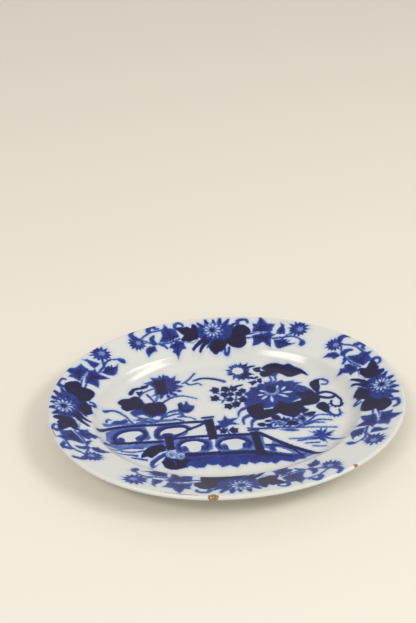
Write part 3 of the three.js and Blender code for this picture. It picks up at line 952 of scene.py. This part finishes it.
    def undergrowth(self, ink: PrintField) -> None:
        """The dark leaves, blades and ground lines under the great flower."""
        for x, y, size, turn in ((58, -20, 8, 1.4), (67, -24, 8, 0.8), (75, -27, 9, 0.5),
                (86, -26, 8, 0.9), (95, -20, 9, 0.4)):
            ink.petals(Tone.BLUE, (x, y), 1.5, size + 3, 6, 3.6, turn, 4.2)
        leaves = [[(33, -21), (39, -20), (43, -23), (40, -27), (35, -26)], [(43, -17), (48, -16),
            (50, -20), (45, -20)], [(43, -24), (49, -23), (50, -28), (44, -28)], [(53, -10), (61, -9),
            (63, -16), (58, -19), (54, -16)], [(62, -17), (69, -17), (71, -21), (64, -21)],
            [(67, -29), (70, -24), (76, -22), (81, -26), (81, -31)], [(86, -18), (91, -17), (92, -23),
            (88, -23)], [(92, -15), (99, -10), (109, -11), (103, -16)], [(91, -8), (98, -3), (101, -6),
            (95, -10)]]
        for outline in leaves:
            ink.leaf(Tone.DARK, outline)
        for path in ([(79, -35), (96, -26), (110, -17), (126, -20)], [(90, -32), (107, -26), (124, -29)],
                     [(88, -33), (102, -30), (114, -32)]):
            ink.stroke(Tone.BLUE, path, 3.4, 1.8)
        ink.stroke(Tone.BLUE, [(20, -27), (40, -31), (57, -32), (73, -35), (97, -38), (126, -43)], 2.8, 2.0)
        ink.petal(Tone.BLUE, (57, -36), (80, -41), 4.6)
        ink.petal(Tone.BLUE, (34, -29), (58, -33), 4.4)

    def small_plant(self, ink: PrintField) -> None:
        """The star-leaved plant beside the middle post."""
        ink.leaf(Tone.BLUE, [(-4, 1), (-1, -6), (12, -6), (4, -12), (11, -18), (0, -17), (-8, -22),
            (-21, -18), (-12, -14), (-15, -8), (-7, -7)], soft=False)
        ink.ivy(Tone.DARK, (-10, -27), 5.4, 2.6)
        ink.ivy(Tone.DARK, (2, -28), 6.2, 0.4)
        ink.ivy(Tone.DARK, (-16, -20), 4.2, 2.9)
        ink.veins(Tone.DARK, (-4, -16), (-4, -3), 2, 1.4)
        ink.stroke(Tone.BLUE, [(-6, -20), (-4, -34)], 2.0, 2.0)

    def water_plant(self, ink: PrintField) -> None:
        """The plant standing in water at the lower right."""
        for path in ([(65, -54), (80, -56), (97, -57)], [(74, -59), (98, -59)], [(82, -65), (98, -66)]):
            ink.stroke(Tone.BLUE, path, 1.6, 2.6)
        ink.star(Tone.BLUE, (105, -54), 6.5, 14.0, 11, 0.3, 0.3)
        ink.petals(Tone.DARK, (105, -55), 3.0, 11.0, 7, 1.8, 0.1)
        for tip in ((97, -46), (107, -42), (112, -48), (118, -52)):
            ink.stroke(Tone.BLUE, [(100, -58), ((100 + tip[0]) / 2 + 1, (-58 + tip[1]) / 2 + 2), tip], 3.2,
                1.4)
        ink.stroke(Tone.BLUE, [(102, -57), (110, -60), (120, -66), (126, -75)], 3.4, 2.0)
        ink.stroke(Tone.WASH, [(90, -71), (104, -74)], 2.6, 2.0)


@dataclass(frozen=True)
class PrintedPattern:
    """The whole pattern on the upper side, and the rubbed and chipped places."""

    form: PlatterForm

    def on(self, x: Array, y: Array) -> PrintField:
        """Works the pattern out at places of the upper side, in plan millimetres."""
        ink = PrintField(x, y)
        GardenScene().draw(ink)
        for spray in BORDER:
            spray.draw(self.form, ink)
        return ink

    def rubbed(self, x: Array, y: Array) -> Array:
        """How far inside a rubbed place of the lip each point is, in millimetres."""
        worn = PrintField(x, y)
        for path, width, tip in (
            ([(-104, -148.6), (-92, -153), (-84, -156)], 0.5, 1.0),
            ([(-84, -155.6), (-74, -158.6), (-62, -161.8)], 1.4, 0.6),
            ([(-208, -42), (-210.5, -34), (-212, -27)], 0.8, 1.0),
            ([(104, 146.4), (112, 142.6)], 0.7, 0.5),
        ):
            worn.stroke(Tone.WEAR, path, width, tip)
        return worn.layers[Tone.WEAR]


# ---------------------------------------------------------------- meshes


@dataclass
class Shell:
    """Vertices in millimetres and quads and triangles for one closed piece."""

    verts: list[Array] = field(default_factory=list)
    quads: list[Array] = field(default_factory=list)
    tris: list[Array] = field(default_factory=list)
    count: int = 0

    def add(self, points: Array) -> Array:
        """Adds points of shape (..., 3) and returns their indices, of shape (...)."""
        flat = points.reshape(-1, 3)
        index = np.arange(self.count, self.count + len(flat)).reshape(points.shape[:-1])
        self.verts.append(flat)
        self.count += len(flat)
        return index

    def skin(self, index: Array, wrap_columns: bool, wrap_rows: bool = False) -> None:
        """Joins a grid of indices with quads that face row direction cross column direction.

        Args:
            index: the indices, rows by columns.
            wrap_columns: True joins the last column to the first.
            wrap_rows: True joins the last row to the first.
        """
        grid = np.concatenate([index, index[:, :1]], axis=1) if wrap_columns else index
        grid = np.concatenate([grid, grid[:1]], axis=0) if wrap_rows else grid
        quads = np.stack([grid[:-1, :-1], grid[1:, :-1], grid[1:, 1:], grid[:-1, 1:]], axis=-1)
        self.quads.append(quads.reshape(-1, 4))

    def fan(self, ring: Array, centre: int) -> None:
        """Closes a ring of indices to one centre vertex, facing inward direction cross ring direction."""
        nxt = np.roll(ring, -1)
        self.tris.append(np.stack([ring, np.full_like(ring, centre), nxt], axis=-1))

    def build(self, name: str, sharp: float = 40.0) -> bpy.types.Object:
        """Makes the object, smooth except across edges sharper than an angle in degrees.

        Args:
            name: the piece's name.
            sharp: the angle.

        Returns:
            The object, linked to the scene.
        """
        points = np.concatenate(self.verts) * MM
        quads = np.concatenate(self.quads) if self.quads else np.zeros((0, 4), int)
        tris = np.concatenate(self.tris) if self.tris else np.zeros((0, 3), int)
        mesh = bpy.data.meshes.new(name)
        mesh.vertices.add(len(points))
        mesh.vertices.foreach_set("co", points.astype(np.float32).ravel())
        corners = np.concatenate([quads.ravel(), tris.ravel()]).astype(np.int32)
        starts = np.concatenate([np.arange(len(quads)) * 4, len(quads) * 4 + np.arange(len(tris)) * 3])
        mesh.loops.add(len(corners))
        mesh.loops.foreach_set("vertex_index", corners)
        mesh.polygons.add(len(quads) + len(tris))
        mesh.polygons.foreach_set("loop_start", starts.astype(np.int32))
        mesh.update(calc_edges=True)
        mesh.validate()
        mesh.shade_smooth()
        mesh.set_sharp_from_angle(angle=radians(sharp))
        made = bpy.data.objects.new(name, mesh)
        bpy.context.scene.collection.objects.link(made)
        return made


def set_attribute(mesh: bpy.types.Mesh, name: str, values: Array) -> None:
    """Writes one number for each vertex as a named attribute."""
    layer = mesh.attributes.new(name, "FLOAT", "POINT")
    layer.data.foreach_set("value", values.astype(np.float32))


def set_bake_map(mesh: bpy.types.Mesh, places: Array) -> None:
    """Writes the piece's own UV map from one (u, v) for each face corner."""
    layer = mesh.uv_layers.new(name="OFBake")
    layer.data.foreach_set("uv", places.astype(np.float32).ravel())


def resampled(path: Array, count: int) -> Array:
    """Points spread evenly along a path of straight segments, as (count, 2)."""
    run = np.concatenate([[0.0], np.cumsum(np.hypot(*np.diff(path, axis=0).T))])
    at = np.linspace(0.0, run[-1], count)
    return np.stack([np.interp(at, run, path[:, 0]), np.interp(at, run, path[:, 1])], axis=1)


def inset_path(path: Array, depth: float) -> Array:
    """A profile moved sideways by depth, to the right of its direction of travel."""
    step = np.gradient(path, axis=0)
    step /= np.maximum(np.hypot(step[:, 0], step[:, 1]), 1e-9)[:, None]
    return path + depth * np.stack([step[:, 1], -step[:, 0]], axis=1)


@dataclass(frozen=True)
class Columns:
    """The angles at which a profile is carried round the oval, from a corner of the well's grid."""

    count: int
    start: float = radians(-144.0)

    @property
    def angles(self) -> Array:
        """The oval's angles, counterclockwise."""
        return self.start + 2 * pi * np.arange(self.count) / self.count

    def carry(self, form: PlatterForm, profile: Array) -> Array:
        """Carries (r, z) rows round the oval, as (rows, columns, 3)."""
        r, angle = np.meshgrid(profile[:, 0], self.angles, indexing="ij")
        x, y = form.ring(r, angle)
        return np.stack([x, y, profile[:, 1:2] + form.sag(r, angle)], axis=-1)


# ---------------------------------------------------------------- finishes


class Graph:
    """A short way to lay out a material's nodes."""

    def __init__(self, name: str) -> None:
        """Starts an empty material with its output and shader."""
        self.material = bpy.data.materials.new(name)
        self.material.use_nodes = True
        self.nodes = self.material.node_tree.nodes
        self.links = self.material.node_tree.links
        self.shader = self.nodes["Principled BSDF"]

    def plug(self, socket: bpy.types.NodeSocket, value: object) -> None:
        """Links a socket to a node's output, or sets its value."""
        if isinstance(value, bpy.types.NodeSocket):
            self.links.new(value, socket)
        elif value is not None:
            socket.default_value = value

    def attribute(self, name: str) -> bpy.types.NodeSocket:
        """The value of a mesh attribute."""
        node = self.nodes.new("ShaderNodeAttribute")
        node.attribute_name = name
        return node.outputs["Fac"]

    def maths(self, operation: str, a: object, b: object = None, c: object = None,
            clamp: bool = False) -> bpy.types.NodeSocket:
        """One Math node."""
        node = self.nodes.new("ShaderNodeMath")
        node.operation = operation
        node.use_clamp = clamp
        for socket, value in zip(node.inputs, (a, b, c)):
            self.plug(socket, value)
        return node.outputs[0]

    def noise(self, scale: float, detail: float = 2.0, rough: float = 0.5) -> bpy.types.NodeSocket:
        """A noise on Object coordinates, about 0 to 1; scale is cells to the metre."""
        place = self.nodes.new("ShaderNodeTexCoord")
        node = self.nodes.new("ShaderNodeTexNoise")
        node.inputs["Scale"].default_value = scale
        node.inputs["Detail"].default_value = detail
        node.inputs["Roughness"].default_value = rough
        self.links.new(place.outputs["Object"], node.inputs["Vector"])
        return node.outputs[0]

    def cracks(self, scale: float) -> bpy.types.NodeSocket:
        """The distance to the edges of Voronoi cells on Object coordinates."""
        place = self.nodes.new("ShaderNodeTexCoord")
        node = self.nodes.new("ShaderNodeTexVoronoi")
        node.feature = "DISTANCE_TO_EDGE"
        node.inputs["Scale"].default_value = scale
        self.links.new(place.outputs["Object"], node.inputs["Vector"])
        return node.outputs[0]

    def step(self, value: object, low: float, high: float) -> bpy.types.NodeSocket:
        """0 below low, 1 above high, smooth between."""
        node = self.nodes.new("ShaderNodeMapRange")
        node.interpolation_type = "SMOOTHSTEP"
        self.plug(node.inputs[0], value)
        node.inputs[1].default_value = low
        node.inputs[2].default_value = high
        return node.outputs[0]

    def blend(self, factor: object, a: object, b: object) -> bpy.types.NodeSocket:
        """Mixes two colours."""
        node = self.nodes.new("ShaderNodeMix")
        node.data_type = "RGBA"
        self.plug(node.inputs[0], factor)
        self.plug(node.inputs[6], a)
        self.plug(node.inputs[7], b)
        return node.outputs[2]

    def ramp(self, value: object, stops: list[tuple[float, tuple[float, float,
            float]]]) -> bpy.types.NodeSocket:
        """A colour ramp with linear colours."""
        node = self.nodes.new("ShaderNodeValToRGB")
        elements = node.color_ramp.elements
        while len(elements) < len(stops):
            elements.new(0.5)
        for element, (place, colour) in zip(elements, stops):
            element.position = place
            element.color = (*colour, 1.0)
        self.plug(node.inputs[0], value)
        return node.outputs[0]

    def bump(self, height: object, distance: float, strength: float = 1.0) -> bpy.types.NodeSocket:
        """A Bump node's normal, its height in metres times distance."""
        node = self.nodes.new("ShaderNodeBump")
        node.inputs["Strength"].default_value = strength
        node.inputs["Distance"].default_value = distance
        self.plug(node.inputs["Height"], height)
        return node.outputs["Normal"]


WHITE = (0.635, 0.638, 0.60)
CLAY = (0.36, 0.215, 0.115)


@dataclass(frozen=True)
class PrintedGlaze:
    """Clear glossy glaze over a blue transfer print that has bled a little into it."""

    roughness: float = 0.16
    ripple: float = 0.00005

    def material(self) -> bpy.types.Material:
        """Builds the finish from the mesh's ink attributes."""
        g = Graph("printed blue glaze")
        grain = g.maths("SUBTRACT", g.noise(260.0, 3.0, 0.6), 0.5)
        patch = g.maths("SUBTRACT", g.noise(70.0, 3.0, 0.55), 0.5)
        edge = g.maths("MULTIPLY", grain, 2.2)
        inks = {tone: g.maths("ADD", g.attribute(tone.value), edge) for tone in Tone}
        union = g.maths("MAXIMUM", g.maths("MAXIMUM", inks[Tone.WASH], inks[Tone.BLUE]), inks[Tone.DARK])
        halo = g.maths("POWER", 2.718, g.maths("DIVIDE", union, 2.1), clamp=True)
        density = g.maths("MULTIPLY", halo, g.maths("ADD", 0.25, g.maths("MULTIPLY", patch, 0.2)))
        wash = g.maths("ADD", 0.48, g.maths("MULTIPLY", patch, 0.36))
        density = self.over(g, density, wash, g.step(inks[Tone.WASH], -1.2, 1.0))
        blue = self.deeper(g, inks[Tone.BLUE], 0.57, 0.035, g.maths("ADD", patch, grain))
        density = self.over(g, density, blue, g.step(inks[Tone.BLUE], -1.0, 0.9))
        dark = self.deeper(g, inks[Tone.DARK], 0.86, 0.045, patch)
        density = self.over(g, density, dark, g.step(inks[Tone.DARK], -0.9, 0.9))
        light = g.maths("ADD", 0.36, g.maths("MULTIPLY", grain, 0.30))
        density = self.over(g, density, light, g.step(inks[Tone.LIGHT], -0.8, 0.8))
        density = self.over(g, density, self.pale_tone(g, patch), g.step(inks[Tone.PALE], -0.8, 0.8))
        density = self.over(g, density, 0.90, g.step(inks[Tone.INK], -0.8, 0.8))
        colour = g.ramp(density, [(0.0, WHITE), (0.16, (0.45, 0.51, 0.60)), (0.36, (0.13, 0.21, 0.45)),
            (0.60, (0.014, 0.038, 0.25)), (0.80, (0.005, 0.007, 0.105)), (1.0, (0.005, 0.002, 0.024)),])
        worn = g.step(inks[Tone.WEAR], -0.35, 0.35)
        clay = g.blend(g.noise(900.0, 3.0), (0.20, 0.095, 0.042, 1), (0.42, 0.25, 0.13, 1))
        g.plug(g.shader.inputs["Base Color"], g.blend(worn, colour, clay))
        rough = g.maths("ADD", g.maths("MULTIPLY", worn, 0.7), self.roughness)
        g.plug(g.shader.inputs["Roughness"], g.maths("ADD", rough, g.maths("MULTIPLY", patch, 0.05)))
        g.shader.inputs["IOR"].default_value = 1.45
        height = g.maths("ADD", g.noise(45.0, 2.0), g.maths("MULTIPLY", g.noise(900.0, 2.0),
            g.maths("MULTIPLY", worn, 6.0)))
        g.plug(g.shader.inputs["Normal"], g.bump(height, self.ripple))
        return g.material

    def over(self, g: Graph, under: object, top: object, cover: object) -> bpy.types.NodeSocket:
        """Lays one density over another: under + (top - under) cover."""
        return g.maths("MULTIPLY_ADD", g.maths("SUBTRACT", top, under), cover, under)

    def deeper(self, g: Graph, ink: object, edge: float, gain: float, mottle: object) -> bpy.types.NodeSocket:
        """The density of an ink that pools: edge at its outline, more by gain for each millimetre in, and
        mottled."""
        pooled = g.maths("MULTIPLY_ADD", g.maths("MINIMUM", g.maths("MAXIMUM", ink, 0.0), 3.5), gain, edge)
        return g.maths("MULTIPLY_ADD", mottle, 0.24, pooled)

    def pale_tone(self, g: Graph, patch: object) -> bpy.types.NodeSocket:
        """The density left in the palest panels."""
        return g.maths("ADD", 0.06, g.maths("MULTIPLY", patch, 0.12))


@dataclass(frozen=True)
class ClearGlaze:
    """The plain glaze of the underside, finely crazed and a little stained."""

    roughness: float = 0.2

    def material(self) -> bpy.types.Material:
        """Builds the finish."""
        g = Graph("clear base glaze")
        crack = g.step(g.cracks(95.0), 0.012, 0.0)
        stain = g.step(g.noise(14.0, 4.0, 0.6), 0.5, 0.75)
        tint = g.blend(stain, (*WHITE, 1), (0.62, 0.60, 0.53, 1))
        line = g.maths("MULTIPLY", crack, g.maths("ADD", 0.12, g.maths("MULTIPLY", stain, 0.4)))
        g.plug(g.shader.inputs["Base Color"], g.blend(line, tint, (0.36, 0.28, 0.19, 1)))
        g.shader.inputs["Roughness"].default_value = self.roughness
        g.plug(g.shader.inputs["Normal"], g.bump(g.noise(60.0, 2.0), 0.0003))
        return g.material


@dataclass(frozen=True)
class BareClay:
    """Fired earthenware, dry and buff, with fine dark specks."""

    roughness: float = 0.85

    def material(self) -> bpy.types.Material:
        """Builds the finish."""
        g = Graph("bare fired clay")
        tone = g.blend(g.noise(60.0, 4.0, 0.6), (0.42, 0.30, 0.19, 1), (0.60, 0.49, 0.36, 1))
        speck = g.step(g.noise(1500.0, 2.0), 0.66, 0.74)
        g.plug(g.shader.inputs["Base Color"], g.blend(speck, tone, (0.14, 0.08, 0.04, 1)))
        g.shader.inputs["Roughness"].default_value = self.roughness
        g.plug(g.shader.inputs["Normal"], g.bump(g.noise(1200.0, 3.0), 0.0002))
        return g.material


# ---------------------------------------------------------------- the platter's pieces


def dress(piece: bpy.types.Object, material: bpy.types.Material, slot: str, *nodes: str) -> None:
    """Gives a piece its finish, its place in the frame and the CAD nodes that it stands for.

    Args:
        piece: the object.
        material: its finish.
        slot: the name of a material slot; not used.
        nodes: the CAD nodes.
    """
    piece.data.materials.append(material)
    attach(piece, "root")
    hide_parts(*nodes)
    LOG.info("%s: %d faces", piece.name, len(piece.data.polygons))


@dataclass(frozen=True)
class GlazeCoat:
    """The printed coat: a fine sheet over the well and a closed band over rim, lip and underside."""

    form: PlatterForm
    pattern: PrintedPattern
    across: int = 330
    down: int = 220
    seam: float = 40.0
    thickness: float = 0.35

    @property
    def columns(self) -> Columns:
        """The columns that both pieces share along their seam."""
        return Columns(2 * (self.across + self.down))

    def sheet_grid(self) -> Array:
        """A four-sided sheet that fills the oval at the seam: opposite sides blended, less the corners'
        blend.

        Returns:
            Points (rows, columns, 3), rows from front to back.
        """
        edge_r = self.form.half_width - self.seam
        x, y = self.form.ring(np.full(self.columns.count, edge_r), self.columns.angles)
        loop = np.stack([x, y], axis=1)
        a, b = self.across, self.down
        front, right = loop[:a + 1], loop[a:a + b + 1]
        back = loop[a + b:2 * a + b + 1][::-1]
        left = np.concatenate([loop[2 * a + b:], loop[:1]])[::-1]
        u = np.linspace(0, 1, a + 1)[None, :, None]
        v = np.linspace(0, 1, b + 1)[:, None, None]
        corners = ((1 - u) * (1 - v) * loop[0] + u * (1 - v) * loop[a] + u * v * loop[a + b] + (
            1 - u) * v * loop[2 * a + b])
        flat = (1 - v) * front[None] + v * back[None] + (1 - u) * left[:, None] + u * right[:, None] - corners
        r, angle = self.form.ring_of(flat[..., 0].ravel(), flat[..., 1].ravel())
        r = np.minimum(r, edge_r)
        z = self.form.show_z(r) + self.form.sag(r, angle)
        return np.concatenate([flat, z.reshape(flat.shape[:2])[..., None]], axis=-1)

    def well(self) -> bpy.types.Object:
        """The sheet over floor, cavetto and inner flange, closed below by rings of its edge."""
        shell = Shell()
        grid = self.sheet_grid()
        top = shell.add(grid)
        shell.skin(top.T, wrap_columns=False)
        edge = np.concatenate([top[0, :-1], top[:-1, -1], top[-1, :0:-1], top[:0:-1, 0]])
        cavetto = np.linspace(self.form.shoulder_r, self.form.floor_r, 16)
        r = np.concatenate([[self.form.half_width - self.seam], cavetto, [60.0, 20.0]])
        under = self.columns.carry(self.form, np.stack([r, self.form.show_z(r) - self.thickness], axis=1))
        rings = shell.add(under)
        shell.skin(np.concatenate([edge[None], rings]), wrap_columns=True)
        centre = shell.add(np.array([[0.0, 0.0, self.form.floor_z - self.thickness]]))
        shell.fan(rings[-1], int(centre[0]))
        piece = shell.build(Piece.WELL.value)
        count, shown = shell.count, grid.shape[0] * grid.shape[1]
        self.ink(piece.data, count, grid[..., 0].ravel(), grid[..., 1].ravel(), np.full(1, FAR))
        self.well_map(piece.data, shown)
        return piece

    def well_map(self, mesh: bpy.types.Mesh, shown: int) -> None:
        """Lays the upper face over most of the bake map and the hidden one small beneath it."""
        corner = np.zeros(len(mesh.loops), np.int32)
        mesh.loops.foreach_get("vertex_index", corner)
        points = np.zeros(len(mesh.vertices) * 3, np.float32)
        mesh.vertices.foreach_get("co", points)
        at = points.reshape(-1, 3)[corner][:, :2] / MM
        total = np.zeros(len(mesh.polygons), np.int32)
        mesh.polygons.foreach_get("loop_total", total)
        highest = np.maximum.reduceat(corner, np.concatenate([[0], np.cumsum(total)[:-1]]))
        hidden = np.repeat(highest >= shown, total)
        half = np.array([self.form.half_length - self.seam, self.form.half_width - self.seam])
        place = at / half / 2
        top = np.array([0.5, 0.57]) + place * np.array([0.98, 0.84])
        low = np.array([0.5, 0.07]) + place * np.array([0.9, 0.12])
        set_bake_map(mesh, np.where(hidden[:, None], low, top))

    def rim(self) -> bpy.types.Object:
        """The closed band: flange outwards, round the lip, in along the underside to the foot, and back
        inside."""
        form = self.form
        edge_r = form.half_width - self.seam
        top_end = form.tangent(1)
        start = (edge_r, float(form.show_z(np.array([edge_r]))[0]))
        flange = resampled(np.array([start, top_end]), 42)
        lip = form.lip_profile(10)
        under = resampled(form.under_profile(), 20)
        foot = np.array([[form.foot_outer, 0.9]])
        outside = np.concatenate([flange, lip[1:-1], under, foot])
        inner = inset_path(outside, self.thickness)
        inner = inner[::-1][[0, 3, 6, 10, 14, 18, 22, 25, 28, 32, 40, 50, 60, len(inner) - 1]]
        inner[0] = (form.foot_outer - self.thickness, 0.9)
        inner[-1] = (edge_r, start[1] - self.thickness)
        profile = np.concatenate([outside, inner])
        points = self.columns.carry(form, profile)
        inset = form.half_width - profile[:, 0]
        band = np.broadcast_to(inset[:, None], points.shape[:2])
        x, y, z = points[..., 0].copy(), points[..., 1].copy(), points[..., 2]
        wear = self.pattern.rubbed(x.ravel(), y.ravel()).reshape(x.shape)
        behind = np.where(np.arange(len(profile)) < len(outside), 0.0, self.thickness)[:, None]
        for chip in (FRONT_CHIP, RIGHT_CHIP):
            x, y, broken = chip.apply(form, x, y, z, band, behind)
            wear = np.maximum(wear, broken)
        points = np.stack([x, y, z], axis=-1)
        shell = Shell()
        index = shell.add(points)
        shell.skin(index, wrap_columns=True, wrap_rows=True)
        piece = shell.build(Piece.RIM.value, 50.0)
        printed = len(flange) + 3
        shown = len(outside) - len(under) + 6
        self.ink(piece.data, shell.count, x[:printed].ravel(), y[:printed].ravel(), wear[:shown].ravel())
        self.rim_map(piece.data, len(flange) + len(lip) // 2, len(outside), profile)
        return piece

    def rim_map(self, mesh: bpy.types.Mesh, top_rows: int, outside_rows: int, profile: Array) -> None:
        """Lays the band on the bake map as nested ovals, each a plan with the profile's length unrolled
        outwards."""
        form, columns = self.form, self.columns.count
        run = np.concatenate([[0.0], np.cumsum(np.hypot(*np.diff(profile, axis=0).T))])
        rows = len(profile)
        top_r = form.half_width - self.seam + run
        foot_r = form.foot_outer + (run[outside_rows - 1] - run)
        hidden = np.abs(profile[:, 0])
        reach = top_r[top_rows]
        scale = 0.49 / (reach + form.stretch)
        parts = [(range(0, top_rows), top_r, 1.0), (range(top_rows, outside_rows - 1), foot_r, 0.70)]
        out_end = outside_rows + 8
        parts.append((range(outside_rows - 1, out_end), hidden, 0.40))
        parts.append((range(out_end, rows), hidden, 0.19))
        places = np.zeros((rows, columns, 4, 2))
        angles = np.append(self.columns.angles, self.columns.angles[0] + 2 * pi)
        for span, radius, size in parts:
            for row in span:
                nxt = (row + 1) % rows
                for k, (at, shift) in enumerate(((row, 0), (nxt, 0), (nxt, 1), (row, 1))):
                    r = np.full(columns, radius[at] if at or row == 0 else radius[row])
                    x, y = form.ring(r, angles[shift:shift + columns])
                    places[row, :, k] = np.stack([x, y], axis=1) * scale * size + 0.5
        set_bake_map(mesh, places.reshape(-1, 2))

    def ink(self, mesh: bpy.types.Mesh, count: int, x: Array, y: Array, wear: Array) -> None:
        """Writes the inks' distances on the mesh, whose printed vertices come first.

        Args:
            mesh: the piece's mesh.
            count: how many vertices it has.
            x: the printed vertices' places across.
            y: their places along.
            wear: the signed distances to worn places, for the first vertices.
        """
        pattern = self.pattern.on(x, y)
        for tone in Tone:
            values = np.full(count, FAR)
            shown = wear if tone is Tone.WEAR else pattern.layers[tone]
            values[:len(shown)] = shown
            set_attribute(mesh, tone.value, values)

    def build(self) -> None:
        """Builds and dresses both pieces."""
        glaze = PrintedGlaze().material()
        dress(self.well(), glaze, "printed_glaze", "glaze_coat")
        dress(self.rim(), glaze, "printed_glaze", "glaze_coat")


@dataclass(frozen=True)
class ClayBody:
    """The earthenware under the glaze, seen only at the ground foot ring and the chips."""

    form: PlatterForm
    columns: Columns = Columns(440)
    chamfer: float = 0.6

    def profile(self) -> Array:
        """The clay's outline from the upper middle round the rim and the foot to the lower middle."""
        form, depth = self.form, self.form.clay_inset
        upper = inset_path(resampled(form.show_profile()[1:], 30), depth)
        lip_r, lip_z = form.lip_centre
        lip = form.lip_profile(9)
        lip = (lip - [lip_r, lip_z]) * (1 - depth / form.lip_radius) + [lip_r, lip_z]
        under = inset_path(resampled(form.under_profile(), 24), depth)[1:-1]
        out, inn, high = form.foot_outer - depth, form.foot_inner + depth, form.foot_height
        foot = [(out, high + 0.3), (out, self.chamfer + 0.2), (out - self.chamfer, 0.0),
            (inn + self.chamfer, 0.0), (inn, self.chamfer + 0.2), (inn - 0.4, high + 0.3),
            (inn - 2.4, high + depth)]
        return np.concatenate([[(60.0, form.floor_z - depth)], upper, lip[1:], under, foot,
            [(50.0, high + depth)]])

    def build(self) -> None:
        """Builds and dresses the piece."""
        shell = Shell()
        profile = self.profile()
        points = self.columns.carry(self.form, profile)
        x, y, z = points[..., 0], points[..., 1], points[..., 2]
        band = np.broadcast_to(self.form.half_width - profile[:, :1], x.shape)
        for chip in (FRONT_CHIP, RIGHT_CHIP):
            x, y, _ = chip.apply(self.form, x, y, z, band, self.form.clay_inset)
        index = shell.add(np.stack([x, y, z], axis=-1))
        shell.skin(index, wrap_columns=True)
        top = shell.add(np.array([[0.0, 0.0, profile[0, 1]]]))
        low = shell.add(np.array([[0.0, 0.0, profile[-1, 1]]]))
        shell.fan(index[0][::-1], int(top[0]))
        shell.fan(index[-1], int(low[0]))
        dress(shell.build(Piece.CLAY.value), BareClay().material(), "bare_clay", "clay_body")


@dataclass(frozen=True)
class BaseGlaze:
    """The glaze inside the foot: a shallow dished disc."""

    form: PlatterForm
    columns: Columns = Columns(440)

    def profile(self) -> Array:
        """The disc's section: its shown underside from the foot to the middle, then back above it."""
        form = self.form
        r, high, t = form.foot_inner, form.foot_height, form.glaze
        cove = bezier([(r, 0.9), (r, high), (r - 1.5, high)], 8)
        radii = np.array([90.0, 80.0, 66.0, 50.0, 34.0, 18.0, 6.0])
        flat = np.stack([radii, np.full(7, high)], axis=1)
        back = np.stack([radii[::-1], np.full(7, high + t)], axis=1)
        rise = np.array([(r - 1.6 + t, high + t), (r + t - 0.1, high - 0.4), (r + t, 0.9)])
        return np.concatenate([cove, flat, back, rise])

    def build(self) -> None:
        """Builds and dresses the piece."""
        shell = Shell()
        profile = self.profile()
        index = shell.add(self.columns.carry(self.form, profile))
        half = 15
        shell.skin(np.concatenate([index[half:], index[:half]]), wrap_columns=True)
        low = shell.add(np.array([[0.0, 0.0, self.form.foot_height]]))
        high = shell.add(np.array([[0.0, 0.0, self.form.foot_height + self.form.glaze]]))
        shell.fan(index[half - 1], int(low[0]))
        shell.fan(index[half][::-1], int(high[0]))
        dress(shell.build(Piece.BASE.value), ClearGlaze().material(), "clear_glaze", "base_glaze")


# ---------------------------------------------------------------- the studio


@dataclass(frozen=True)
class Studio:
    """A plain pale floor, soft lights and the camera, all in metres."""

    camera_at: tuple[float, float, float] = (-0.1791, -0.8911, 0.7701)
    camera_turn: tuple[float, float, float] = (56.22, 0.0, -9.84)
    view_angle: float = 36.0
    floor_colour: tuple[float, float, float] = (0.765, 0.722, 0.638)

    def floor(self) -> None:
        """A wide matt floor at the foot's level."""
        bpy.ops.mesh.primitive_plane_add(size=8.0)
        plane = bpy.context.object
        plane.name = "floor"
        g = Graph("pale floor")
        g.plug(g.shader.inputs["Base Color"], (*self.floor_colour, 1))
        g.shader.inputs["Roughness"].default_value = 0.9
        g.shader.inputs["Specular IOR Level"].default_value = 0.1
        plane.data.materials.append(g.material)

    def light(self, name: str, at: tuple[float, float, float], aim: tuple[float, float, float],
            size: tuple[float, float], power: float, colour: tuple[float, float, float]) -> None:
        """One rectangular soft light, aimed at a point.

        Args:
            name: its name.
            at: where it stands.
            aim: where it points.
            size: its width and height.
            power: watts.
            colour: linear colour.
        """
        data = bpy.data.lights.new(name, "AREA")
        data.shape = "RECTANGLE"
        data.size, data.size_y = size
        data.energy = power
        data.color = colour
        lamp = bpy.data.objects.new(name, data)
        bpy.context.scene.collection.objects.link(lamp)
        lamp.location = at
        ray = np.array(aim) - np.array(at)
        flat = np.hypot(ray[0], ray[1])
        lamp.rotation_euler = (np.arctan2(flat, -ray[2]), 0.0, np.arctan2(ray[1], ray[0]) - pi / 2)

    def build(self) -> None:
        """Sets the floor, the lights, the surroundings and the camera."""
        bpy.context.scene.view_settings.view_transform = "Standard"
        self.floor()
        self.light("key soft light", (1.70, -0.95, 2.10), (0.0, 0.0, 0.0), (1.20, 0.62), 27.0,
            (1.0, 0.975, 0.93))
        self.light("second soft light", (-1.15, -1.29, 2.13), (0.0, 0.0, 0.0), (1.25, 0.45), 21.0,
            (1.0, 0.98, 0.95))
        world = bpy.data.worlds.new("soft room")
        world.use_nodes = True
        world.node_tree.nodes["Background"].inputs[0].default_value = (1.0, 0.985, 0.955, 1)
        world.node_tree.nodes["Background"].inputs[1].default_value = 0.72
        bpy.context.scene.world = world
        data = bpy.data.cameras.new("camera")
        data.sensor_fit = "VERTICAL"
        data.sensor_height = 24.0
        data.lens = 12.0 / tan(radians(self.view_angle) / 2)
        camera = bpy.data.objects.new("camera", data)
        bpy.context.scene.collection.objects.link(camera)
        camera.location = self.camera_at
        camera.rotation_euler = [radians(a) for a in self.camera_turn]
        bpy.context.scene.camera = camera


def main() -> None:
    """Builds the platter and its studio in order."""
    logging.basicConfig(level=logging.INFO, format="%(name)s %(message)s")
    form = PlatterForm.from_frame()
    GlazeCoat(form, PrintedPattern(form)).build()
    ClayBody(form).build()
    BaseGlaze(form).build()
    Studio().build()
    bpy.context.view_layer.update()


if __name__ == "__main__":
    main()
